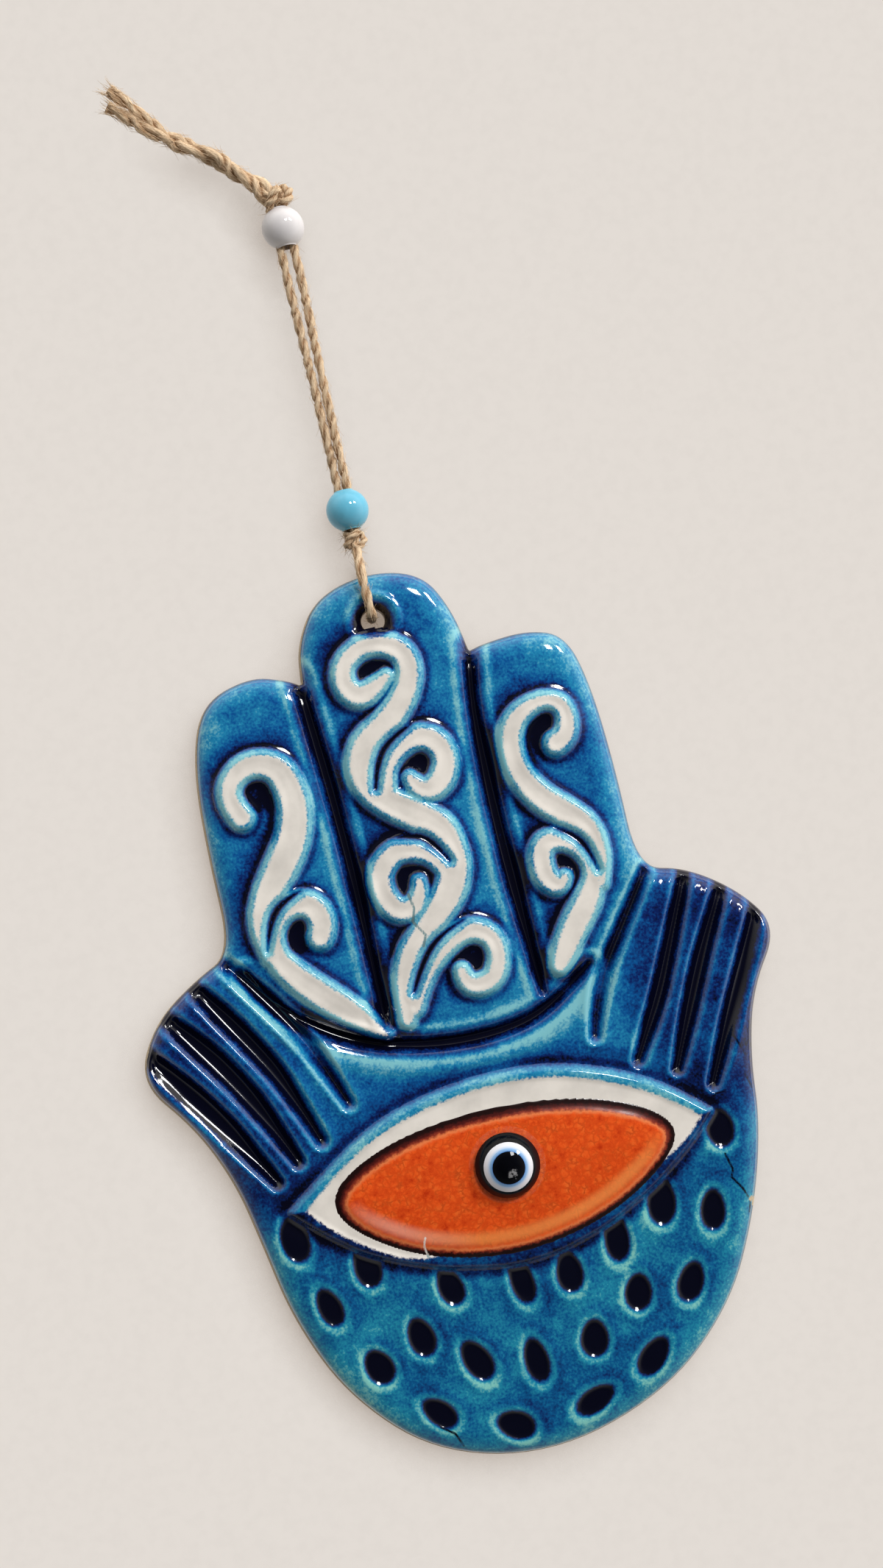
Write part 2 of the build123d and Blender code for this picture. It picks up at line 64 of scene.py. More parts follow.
def box_mm(node):
    """Lowest and highest corner of a CAD node, in millimetres."""
    low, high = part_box(node)
    return np.array(low) / MM, np.array(high) / MM


# Places read from the frame
PLAQUE_LOW, PLAQUE_HIGH = box_mm("hand_plaque")
FRONT = -PLAQUE_LOW[1]
BACK = PLAQUE_HIGH[1]
STRING_D = float(np.ptp(box_mm("cord_strand_left"), axis=0)[1])
EYE_MIDDLE = np.mean(box_mm("glass_eye_base"), axis=0)
JOINTS = {joint["name"]: joint for joint in frame["joints"]}
HOLE = np.array(JOINTS["hand_swing"]["pos_m"]) / MM
HOLE_R = 2.2                # radius of the hole for the string
# The raster that the relief is worked out on: its corners (x, z), its step, and how far its fields reach
RASTER_LOW, RASTER_HIGH = (-64.0, -236.0), (64.0, -61.0)
RASTER_STEP = 0.35
REACH = 9.0

# Outline of the hand (x, z) as control points, anticlockwise, starting left of the middle finger.
# A notch has its point twice, which keeps it tight.
OUTLINE = [
    (-15.8, -82.0), (-15.8, -82.0), (-18.4, -80.4), (-25.0, -78.3), (-35.0, -81.4), (-39.0, -93.0),
    (-39.8, -110.0), (-39.6, -127.9), (-47.0, -131.2), (-56.3, -137.4), (-61.6, -147.6), (-53.4, -158.0),
    (-48.4, -169.4), (-46.1, -181.0), (-43.4, -197.0), (-36.3, -213.5), (-22.5, -227.4), (-1.0, -232.4),
    (22.0, -225.8), (37.0, -212.8), (45.0, -197.5), (50.0, -181.5), (51.1, -168.6), (54.4, -156.4),
    (61.6, -146.2), (56.2, -138.0), (46.8, -131.2), (38.3, -129.6), (38.4, -111.0), (37.4, -94.0),
    (34.8, -83.6), (27.8, -81.2), (19.6, -81.8), (16.4, -82.6), (16.4, -82.6), (15.0, -74.4),
    (11.0, -66.4), (0.8, -63.9), (-9.8, -66.7), (-14.9, -74.6),
]

# Strokes as (x, z, width) along their middle lines. The width of a scroll is that of its white top.
LEFT_SCROLL = [
    [(-31.8, -103.8, 3.0), (-33.0, -101.6, 2.8), (-33.2, -98.0, 2.6), (-30.6, -95.2, 3.0),
     (-26.8, -94.5, 3.4), (-23.2, -96.4, 4.0), (-21.9, -100.4, 4.2), (-21.8, -104.6, 4.5),
     (-23.2, -109.2, 4.8), (-25.9, -113.3, 5.0), (-29.2, -117.2, 4.4), (-32.0, -120.9, 3.0),
     (-33.4, -123.8, 1.5), (-33.5, -126.6, 1.0), (-32.4, -130.2, 1.4)],
    [(-22.5, -128.4, 3.2), (-21.2, -126.0, 3.5), (-22.8, -122.2, 3.4), (-26.4, -121.4, 3.0),
     (-29.8, -123.3, 2.8), (-31.4, -127.0, 2.6), (-31.1, -130.9, 3.1), (-28.6, -134.5, 3.8),
     (-25.1, -138.5, 4.2), (-20.9, -142.5, 4.0), (-16.8, -146.6, 2.2), (-14.6, -148.9, 0.6)],
]
MIDDLE_SCROLL = [
    [(0.0, -84.2, 1.2), (-2.2, -85.7, 2.4), (-5.6, -87.0, 3.3), (-8.0, -84.6, 2.9),
     (-7.7, -80.7, 2.6), (-4.3, -78.0, 2.6), (-0.2, -77.8, 2.6), (4.0, -79.9, 3.2),
     (4.7, -84.4, 3.2), (2.1, -89.0, 3.6), (-1.8, -92.6, 4.0), (-6.7, -95.9, 4.8),
     (-8.6, -99.8, 4.3), (-7.5, -104.2, 3.9), (-4.4, -107.4, 4.2), (0.5, -110.9, 4.6),
     (3.9, -113.9, 4.4), (5.5, -118.4, 2.8), (4.5, -122.2, 4.6), (1.9, -126.9, 4.6),
     (-2.6, -130.8, 3.4), (-6.9, -134.9, 3.6), (-9.2, -139.8, 3.0), (-9.4, -144.0, 3.2),
     (-10.2, -146.9, 1.8)],
    [(-4.9, -106.6, 2.6), (-4.7, -102.0, 2.9), (-2.6, -98.6, 3.0), (2.0, -96.1, 3.0), (5.9, -97.1, 3.4),
     (7.7, -100.9, 3.2), (6.2, -104.9, 3.6), (3.2, -106.7, 3.0), (0.9, -105.4, 2.4), (0.1, -103.5, 1.2)],
    [(3.6, -121.4, 3.6), (1.6, -118.1, 3.2), (-2.0, -116.4, 3.0), (-6.0, -116.2, 3.0),
     (-9.3, -119.1, 3.2), (-9.6, -123.3, 3.0), (-7.8, -127.0, 3.2), (-4.6, -127.3, 2.9),
     (-2.7, -124.8, 2.0), (-2.5, -122.6, 1.2)],
    [(-8.6, -144.9, 2.6), (-6.3, -140.4, 2.6), (-1.7, -135.8, 2.7), (3.8, -132.9, 2.8), (8.2, -134.8, 2.5),
     (9.1, -139.0, 2.5), (7.4, -142.9, 2.6), (4.2, -143.9, 2.6), (1.8, -142.9, 2.2), (1.5, -140.4, 1.4)],
]
RIGHT_SCROLL = [
    [(28.0, -103.2, 3.0), (29.8, -102.7, 3.0), (31.2, -99.6, 2.4), (30.6, -96.0, 2.2),
     (27.2, -94.7, 1.6), (23.4, -95.8, 2.4), (20.4, -98.4, 3.0), (19.5, -102.4, 2.9),
     (20.0, -107.2, 3.2), (22.5, -112.0, 3.8), (26.4, -115.7, 4.0), (30.2, -119.0, 3.2),
     (31.8, -123.2, 1.7), (31.6, -127.0, 1.2), (30.4, -130.4, 1.2)],
    [(24.0, -127.8, 1.2), (22.9, -129.4, 2.0), (20.9, -127.9, 3.0), (20.2, -124.4, 3.0),
     (21.4, -120.8, 3.0), (24.6, -120.6, 2.4), (27.5, -122.6, 2.0), (29.1, -125.6, 1.6),
     (29.4, -129.2, 2.4), (27.2, -133.0, 4.0), (23.6, -137.2, 3.9), (20.4, -142.0, 3.4),
     (19.5, -143.5, 2.0)],
]
# Cuts that part the curls from their stems
SCROLL_CUTS = [
    [(-24.0, -119.2, 1.0), (-28.3, -120.6, 1.8), (-31.3, -124.2, 1.8), (-32.6, -128.8, 0.7)],
    [(3.0, -93.6, 0.8), (-1.6, -95.4, 1.5), (-5.3, -99.2, 1.9), (-6.5, -104.0, 1.1)],
    [(-7.0, -113.4, 0.8), (-2.4, -113.7, 1.5), (1.4, -115.4, 1.7), (3.9, -120.0, 0.9)],
    [(4.2, -131.2, 0.8), (-0.6, -132.7, 1.4), (-5.2, -137.0, 1.8), (-7.9, -142.2, 1.0)],
    [(22.8, -117.4, 0.8), (26.8, -119.8, 1.5), (29.6, -123.4, 1.7), (30.4, -127.8, 0.8)],
]
SCROLLS = {"left": LEFT_SCROLL, "middle": MIDDLE_SCROLL, "right": RIGHT_SCROLL}
FINGER_GROOVES = [
    [(-16.2, -80.5, 2.4), (-15.4, -92.0, 2.6), (-14.3, -112.0, 2.5),
     (-14.2, -131.0, 2.2), (-14.4, -147.0, 1.2)],
    [(16.4, -81.5, 2.2), (14.8, -90.0, 2.0), (14.2, -103.0, 2.4),
     (14.2, -117.0, 2.8), (14.8, -134.0, 2.6), (15.4, -147.6, 1.0)],
]
SMILE_GROOVE = [
    [(-37.4, -132.0, 1.0), (-34.0, -138.4, 1.5), (-28.4, -143.9, 1.8), (-19.5, -149.6, 2.1),
     (-6.0, -153.0, 2.5), (7.0, -153.3, 2.5), (17.0, -150.6, 2.2), (25.0, -144.6, 1.0)],
]
THUMB_GROOVES = [
    [(-41.0, -129.6, 1.6), (-35.8, -136.2, 2.8), (-31.6, -142.8, 2.5),
     (-27.8, -150.2, 2.3), (-24.3, -159.6, 1.0)],
    [(-48.8, -130.6, 1.8), (-43.8, -138.0, 3.2), (-39.2, -145.4, 3.2),
     (-35.0, -153.0, 2.9), (-30.7, -165.2, 1.2)],
    [(-54.8, -135.6, 2.0), (-48.9, -143.2, 3.6), (-44.3, -150.0, 3.7),
     (-39.9, -158.0, 3.1), (-35.7, -168.0, 1.2)],
    [(-59.6, -141.4, 2.0), (-53.8, -149.6, 3.7), (-49.3, -156.0, 3.9),
     (-45.0, -162.8, 3.2), (-40.4, -170.8, 1.2)],
    [(39.0, -129.9, 1.6), (33.4, -137.8, 2.1), (28.2, -145.0, 2.1),
     (24.8, -151.8, 2.0), (23.1, -157.8, 1.0)],
    [(46.3, -131.8, 1.6), (40.6, -144.2, 2.3), (36.6, -152.8, 2.5),
     (33.0, -159.0, 2.2), (30.0, -164.0, 1.1)],
    [(52.9, -135.0, 1.6), (47.0, -145.4, 2.6), (43.2, -153.2, 2.7),
     (39.6, -161.0, 2.3), (36.7, -167.2, 1.1)],
    [(59.0, -139.2, 1.6), (53.8, -149.8, 2.7), (50.0, -157.0, 2.7),
     (46.2, -164.4, 2.3), (42.7, -171.4, 1.1)],
]
# Dimples as (x, z, lean in degrees anticlockwise)
DIMPLES = [
    (-39.6, -182.0, 10), (-27.7, -190.0, 12), (-36.0, -195.4, 16), (-13.5, -197.0, 18), (-0.4, -198.8, 8),
    (8.6, -199.4, -2), (18.6, -195.4, -6), (28.2, -190.8, -14), (37.2, -194.2, -12), (42.0, -179.9, -6),
    (-20.8, -204.6, 12), (-29.6, -208.2, 22), (-11.7, -211.2, 24), (-1.0, -213.6, 4), (10.4, -212.2, -10),
    (20.2, -205.8, -14), (30.2, -206.2, -28), (-20.6, -219.0, 44), (-7.4, -224.4, 62), (8.0, -223.4, -68),
    (20.4, -218.0, -46),
]
DIMPLE_HALF = (2.45, 3.95)
# Closed control polygons (x, z) of the painted eye: its raised rim, its white field and its orange iris
EYE_RIM = [
    (-38.9, -176.9), (-38.9, -176.9), (-31.0, -171.4), (-21.0, -165.0), (-10.0, -161.9), (2.0, -160.6),
    (14.0, -161.5), (26.0, -165.6), (34.0, -170.4), (40.6, -176.2), (40.6, -176.2), (35.2, -181.8),
    (24.0, -189.2), (12.0, -194.1), (0.0, -195.7), (-14.0, -193.0), (-26.0, -188.0), (-33.4, -182.4),
]
EYE_WHITE = [
    (-36.4, -177.0), (-36.4, -177.0), (-29.6, -171.6), (-20.4, -166.2), (-10.0, -163.3),
    (2.0, -161.9), (13.6, -162.8), (25.4, -167.1), (33.0, -171.6), (39.0, -176.5),
    (39.0, -176.5), (34.6, -181.0), (28.0, -184.0), (16.0, -190.0), (0.0, -192.6),
    (-12.0, -190.6), (-19.0, -190.6), (-25.6, -187.0), (-32.4, -181.8),
]
IRIS = [
    (-31.6, -178.2), (-29.2, -173.2), (-20.4, -168.9), (-10.0, -166.8), (0.0, -166.3),
    (10.4, -166.9), (20.8, -169.0), (30.4, -173.2), (34.4, -178.4), (29.4, -184.4),
    (17.0, -191.2), (0.0, -194.0), (-16.4, -190.6), (-27.2, -184.0),
]
# Hairline cracks in the glaze (x, z)
CRACKS = [
    [(41.7, -184.6), (42.5, -187.8), (41.9, -189.1), (43.5, -191.6), (44.5, -194.3), (43.9, -196.5)],
    [(40.6, -174.5), (42.6, -173.4), (44.4, -173.2)],
    [(48.7, -171.1), (49.2, -172.4), (49.6, -174.1)],
    [(47.7, -161.8), (48.4, -164.0), (49.8, -167.8)],
    [(-21.0, -221.6), (-18.6, -223.4), (-17.6, -226.2)],
    [(-5.0, -124.4), (-4.5, -127.2), (-5.3, -129.6), (-3.5, -132.4), (-4.4, -134.4)],
    [(-16.0, -186.6), (-16.6, -188.2), (-16.2, -190.4)],
]
# Chips in the glaze (x, z, radius)
CHIPS = [(45.6, -195.2, 0.9), (44.8, -194.2, 0.5), (-61.4, -146.0, 0.7), (-16.4, -189.6, 0.3)]

# Routes of the string (x, y, z), the control points of smooth curves
STRAND_LEFT = [
    (-0.9, 0.0, -55.724), (-0.86, 0.05, -48.0), (-0.8, 0.0, -38.0), (-1.0, -0.05, -24.0),
    (-1.32, 0.0, -10.0), (-1.3, 0.0, -1.0), (-1.1, 0.0, 5.973),
]
STRAND_RIGHT = [
    (0.9, 0.0, -55.724), (0.9, -0.05, -47.0), (0.86, 0.0, -36.0), (0.98, 0.05, -22.0),
    (1.25, 0.0, -10.0), (1.2, 0.0, -1.0), (1.1, 0.0, 5.973),
]
HOLE_LOOP = [
    (0.0, -0.2, -58.6), (0.0, -1.4, -60.6), (-0.2, -3.7, -63.8), (-0.2, -3.9, -67.6),
    (0.0, -3.9, -71.8), (0.0, -2.4, -72.7), (0.0, 2.7, -72.7), (0.0, 4.4, -71.8),
    (0.0, 4.2, -67.6), (0.0, 4.1, -63.8), (0.0, 1.4, -60.6), (0.0, 0.2, -58.6),
]
TAIL_LEFT = [
    (-1.62, 0.0, 8.2), (-3.6, 0.2, 11.6), (-5.4, 0.9, 14.6), (-9.2, 2.0, 17.4), (-12.4, 1.8, 20.6),
    (-15.2, -0.4, 22.6), (-18.4, -2.8, 22.9), (-21.6, -4.4, 25.0), (-24.4, -5.8, 27.5), (-26.8, -6.8, 29.2),
]
TAIL_RIGHT = [
    (-0.18, 0.0, 9.2), (-3.0, 1.4, 12.6), (-7.0, 1.8, 14.8), (-8.4, 0.3, 18.2), (-12.0, -0.5, 19.6),
    (-16.2, -0.8, 21.3), (-18.2, -2.0, 24.4), (-20.8, -4.4, 26.7), (-23.4, -5.8, 29.9), (-26.0, -6.8, 32.2),
]


def linear(code):
    """A colour written as an sRGB hex value, as linear red, green and blue."""
    parts = [int(code[at:at + 2], 16) / 255 for at in (1, 3, 5)]
    return tuple(c / 12.92 if c <= 0.04045 else ((c + 0.055) / 1.055) ** 2.4 for c in parts)


def size(name, description, millimetres):
    """A length setting, given in millimetres."""
    return bpy.props.FloatProperty(name=name, description=description, default=millimetres * MM, min=0.0,
                                   precision=5, unit="LENGTH", subtype="DISTANCE")


def colour(name, description, code):
    """A colour setting, given as an sRGB hex value."""
    return bpy.props.FloatVectorProperty(name=name, description=description, default=linear(code), min=0.0,
                                         max=1.0, size=3, subtype="COLOR")


class HamsaPotterySettings(bpy.types.PropertyGroup):
    """Sizes of the relief and colours of the glazes."""

    rim_width: size("Rim width", "How far in from the edge the front rolls over", 5.2)
    rim_drop: size("Rim drop", "How far the front falls at its edge", 2.0)
    scroll_rise: size("Scroll rise", "Height of the white scrolls over the ground", 1.5)
    groove_depth: size("Groove depth", "Depth of the grooves between the fingers", 1.7)
    thumb_depth: size("Thumb groove depth", "Depth of the grooves across the thumbs", 1.9)
    dimple_depth: size("Dimple depth", "Depth of the dimples in the palm", 0.5)
    eye_rise: size("Eye rise", "Height of the painted eye's white field over the ground", 1.2)
    iris_rise: size("Iris rise", "Height of the orange iris over the white field", 1.0)
    thin: colour("Thin glaze", "Glaze drawn thin over a ridge", "#7FC2CE")
    light: colour("Light glaze", "Glaze beside a ridge", "#2389B6")
    mid: colour("Middle glaze", "Glaze on the flat", "#0C5598")
    deep: colour("Deep glaze", "Glaze running into a hollow", "#0B2464")
    pool: colour("Pooled glaze", "Glaze pooled in a groove or pit", "#05061A")
    slip: colour("White slip", "Unglazed white slip on the scrolls and the eye", "#E8E2DA")
    orange: colour("Orange glaze", "Glaze of the iris", "#EA561C")
    border: colour("Border", "Burnt edge of the orange glaze", "#1C0A0A")
    clay: colour("Clay", "Bare fired clay of the back and the side wall", "#CDB99B")


class HamsaStringSettings(bpy.types.PropertyGroup):
    """The two-ply jute string."""

    diameter: size("Diameter", "Thickness of the string", STRING_D)
    lay: size("Lay", "Length of one full turn of the two plies", 5.2)
    fibre: size("Fibre", "Length of a loose fibre", 2.2)
    pale: colour("Pale jute", "Fibres in the light", "#F1D8B6")
    # The dark jute is both the fibres' own darker tone and the painted shade between the plies
    dark: colour("Dark jute", "Fibres between the plies", "#96693C")


class HamsaGlassSettings(bpy.types.PropertyGroup):
    """The beads and the glass eye."""

    bore: size("Bore", "Radius of a bead's bore", 1.95)
    white: colour("White glass", "White bead", "#DCD8D9")
    ring: colour("Ring glass", "White ring of the glass eye", "#E8E8EE")
    turquoise: colour("Turquoise glass", "Lower bead", "#69BBD8")
    pale_blue: colour("Pale blue glass", "Ring round the pupil", "#8FB9E4")
    dark: colour("Dark glass", "Body and pupil of the glass eye", "#07080E")
    glue: colour("Glue", "Clear glue round the glass eye", "#E9A583")


class HamsaStageSettings(bpy.types.PropertyGroup):
    """Backdrop, light and camera."""

    backdrop: colour("Backdrop", "Colour of the plain backdrop", "#E3DCD5")
    behind: size("Backdrop distance", "From the string to the backdrop, past the hand's reach", 200.0)
    shade: colour("Shadow", "How a shadow tints the backdrop at its darkest", "#9C8D7F")
    gap: size("Shadow gap", "From the plaque's back to the sheet that shows its shadow", 1.9)
    shadow_reach: size("Shadow reach", "How far off a piece still casts a soft shadow", 10.0)
    distance: size("Camera distance", "From the camera to the ornament", 400.0)
    height: size("Frame height", "Height of what the camera sees at the ornament", 290.9)
    roll: bpy.props.FloatProperty(name="Roll", description="How far the camera is turned about its own axis",
                                  default=math.radians(12.9), subtype="ANGLE", unit="ROTATION")
    lamp_size: size("Lamp size", "Width of each square lamp", 300.0)


class Raster:
    """A grid of points over the hand: x along its columns, z up its rows."""

    def __init__(self, low, high, step):
        self.step = step
        self.x = np.arange(low[0], high[0], step)
        self.z = np.arange(low[1], high[1], step)
        self.X, self.Z = np.meshgrid(self.x, self.z)

    def window(self, low, high, reach):
        """The slices of rows and columns within reach of a box."""
        c0, c1 = np.searchsorted(self.x, (low[0] - reach, high[0] + reach))
        r0, r1 = np.searchsorted(self.z, (low[1] - reach, high[1] + reach))
        return slice(r0, r1), slice(c0, c1)

    def sample(self, field, x, z):
        """A field's value at any points, between the four grid points round each."""
        across = np.clip((x - self.x[0]) / self.step, 0, len(self.x) - 1.001)
        up = np.clip((z - self.z[0]) / self.step, 0, len(self.z) - 1.001)
        c, r = across.astype(int), up.astype(int)
        u, v = across - c, up - r
        low = field[r, c] * (1 - u) + field[r, c + 1] * u
        high = field[r + 1, c] * (1 - u) + field[r + 1, c + 1] * u
        return low * (1 - v) + high * v


def smooth_curve(points, closed=False, steps=8):
    """Quadratic arcs from run middle to run middle, each bent by the control point between them."""
    control = np.array(points, float)
    if closed:
        start = (np.roll(control, 1, axis=0) + control) / 2
        end = (control + np.roll(control, -1, axis=0)) / 2
    else:
        middles = (control[:-1] + control[1:]) / 2
        start = np.vstack([control[:1], middles[1:-1]])
        end = np.vstack([middles[1:-1], control[-1:]])
        control = control[1:-1]
    t = np.linspace(0, 1, steps, endpoint=False)[None, :, None]
    arcs = (1 - t) ** 2 * start[:, None] + 2 * t * (1 - t) * control[:, None] + t ** 2 * end[:, None]
    curve = arcs.reshape(-1, control.shape[1])
    return curve if closed else np.vstack([curve, end[-1:]])


def evenly(curve, spacing, closed=False):
    """The same curve with points an even distance apart."""
    whole = np.vstack([curve, curve[:1]]) if closed else curve
    along = np.concatenate([[0], np.cumsum(np.linalg.norm(np.diff(whole, axis=0), axis=1))])
    count = max(3, round(along[-1] / spacing))
    marks = np.linspace(0, along[-1], count, endpoint=not closed)
    return np.stack([np.interp(marks, along, column) for column in whole.T], axis=1)


def stroke_field(raster, curves, reach):
    """Distance to the nearest stroke's edge, negative inside; each curve holds (x, z, width)."""
    field = np.full(raster.X.shape, float(reach))
    for curve in curves:
        for a, b in zip(curve[:-1], curve[1:]):
            near = raster.window(np.minimum(a, b), np.maximum(a, b), reach + max(a[2], b[2]) / 2)
            dx, dz = b[0] - a[0], b[1] - a[1]
            px, pz = raster.X[near] - a[0], raster.Z[near] - a[1]
            t = np.clip((px * dx + pz * dz) / max(dx * dx + dz * dz, 1e-9), 0, 1)
            away = np.hypot(px - t * dx, pz - t * dz) - (a[2] + t * (b[2] - a[2])) / 2
            field[near] = np.minimum(field[near], away)
    return field


def closed_field(raster, curve, reach):
    """Distance to a closed curve, negative inside, by counting crossings along each row."""
    loop = np.vstack([curve, curve[:1]])
    away = stroke_field(raster, [np.column_stack([loop, np.zeros(len(loop))])], reach)
    inside = np.zeros(raster.X.shape, bool)
    for a, b in zip(loop[:-1], loop[1:]):
        rows = slice(*np.searchsorted(raster.z, sorted((a[1], b[1]))))
        share = (raster.z[rows] - a[1]) / ((b[1] - a[1]) or 1.0)
        inside[rows] ^= raster.x[None, :] > (a[0] + share * (b[0] - a[0]))[:, None]
    return np.where(inside, -away, away)


def dimple_field(raster, reach):
    """Rough distance to the nearest dimple's edge: each is a drop, narrower at its top end."""
    field = np.full(raster.X.shape, float(reach))
    grown = np.random.default_rng(5).uniform(0.9, 1.12, (len(DIMPLES), 2)) * DIMPLE_HALF
    for (x, z, lean), (half_w, half_l) in zip(DIMPLES, grown):
        near = raster.window((x, z), (x, z), half_l + reach)
        turn = math.radians(lean)
        px, pz = raster.X[near] - x, raster.Z[near] - z
        across = px * math.cos(turn) + pz * math.sin(turn)
        along = (pz * math.cos(turn) - px * math.sin(turn)) / half_l
        width = half_w * (1 - 0.12 * np.clip(along, -1, 1))
        field[near] = np.minimum(field[near], (np.hypot(across / width, along) - 1) * half_w)
    return field


def bank(field, top, foot):
    """A smooth bank: 1 where the field is under top, 0 past foot."""
    t = np.clip((foot - field) / (foot - top), 0, 1)
    return t * t * (3 - 2 * t)


def swell(field, at, width):
    """A smooth swell along the line where the field equals at."""
    return np.exp(-((field - at) / width) ** 2)


def facing(field, x, z):
    """How far the field grows towards the direction (x, z): 1 on that side of a stroke, 0 on the other."""
    up, across = np.gradient(field)
    along = (across * x + up * z) / np.maximum(np.hypot(across, up) * math.hypot(x, z), 1e-9)
    return bank(-along, -0.9, 0.7)


def blurred(field, radius, step):
    """The field averaged by a bell curve of that radius, its borders carried outwards."""
    pad = int(3 * radius / step) + 1
    wide = np.pad(field, pad, mode="edge")
    rows = np.fft.fftfreq(wide.shape[0])[:, None]
    columns = np.fft.rfftfreq(wide.shape[1])[None, :]
    soften = np.exp(-2 * (math.pi * radius / step) ** 2 * (rows ** 2 + columns ** 2))
    soft = np.fft.irfft2(np.fft.rfft2(wide) * soften, s=wide.shape)
    return soft[pad:-pad, pad:-pad]


def walled_in(mask, step, reach):
    """How far the mask closes each point in: the share of sixteen directions that meet it within reach."""
    share = np.zeros(mask.shape)
    for turn in np.arange(16) * math.pi / 8:
        met = np.zeros(mask.shape, bool)
        for away in np.arange(1.0, reach, 0.7) / step:
            met |= np.roll(mask, (round(away * math.sin(turn)), round(away * math.cos(turn))), axis=(0, 1))
        share += met / 16
    return share


def waviness(raster, radius, seed):
    """Even random waves of about that radius, with a spread of one."""
    speckle = np.random.default_rng(seed).standard_normal(raster.X.shape)
    soft = blurred(speckle, radius, raster.step)
    return soft / soft.std()


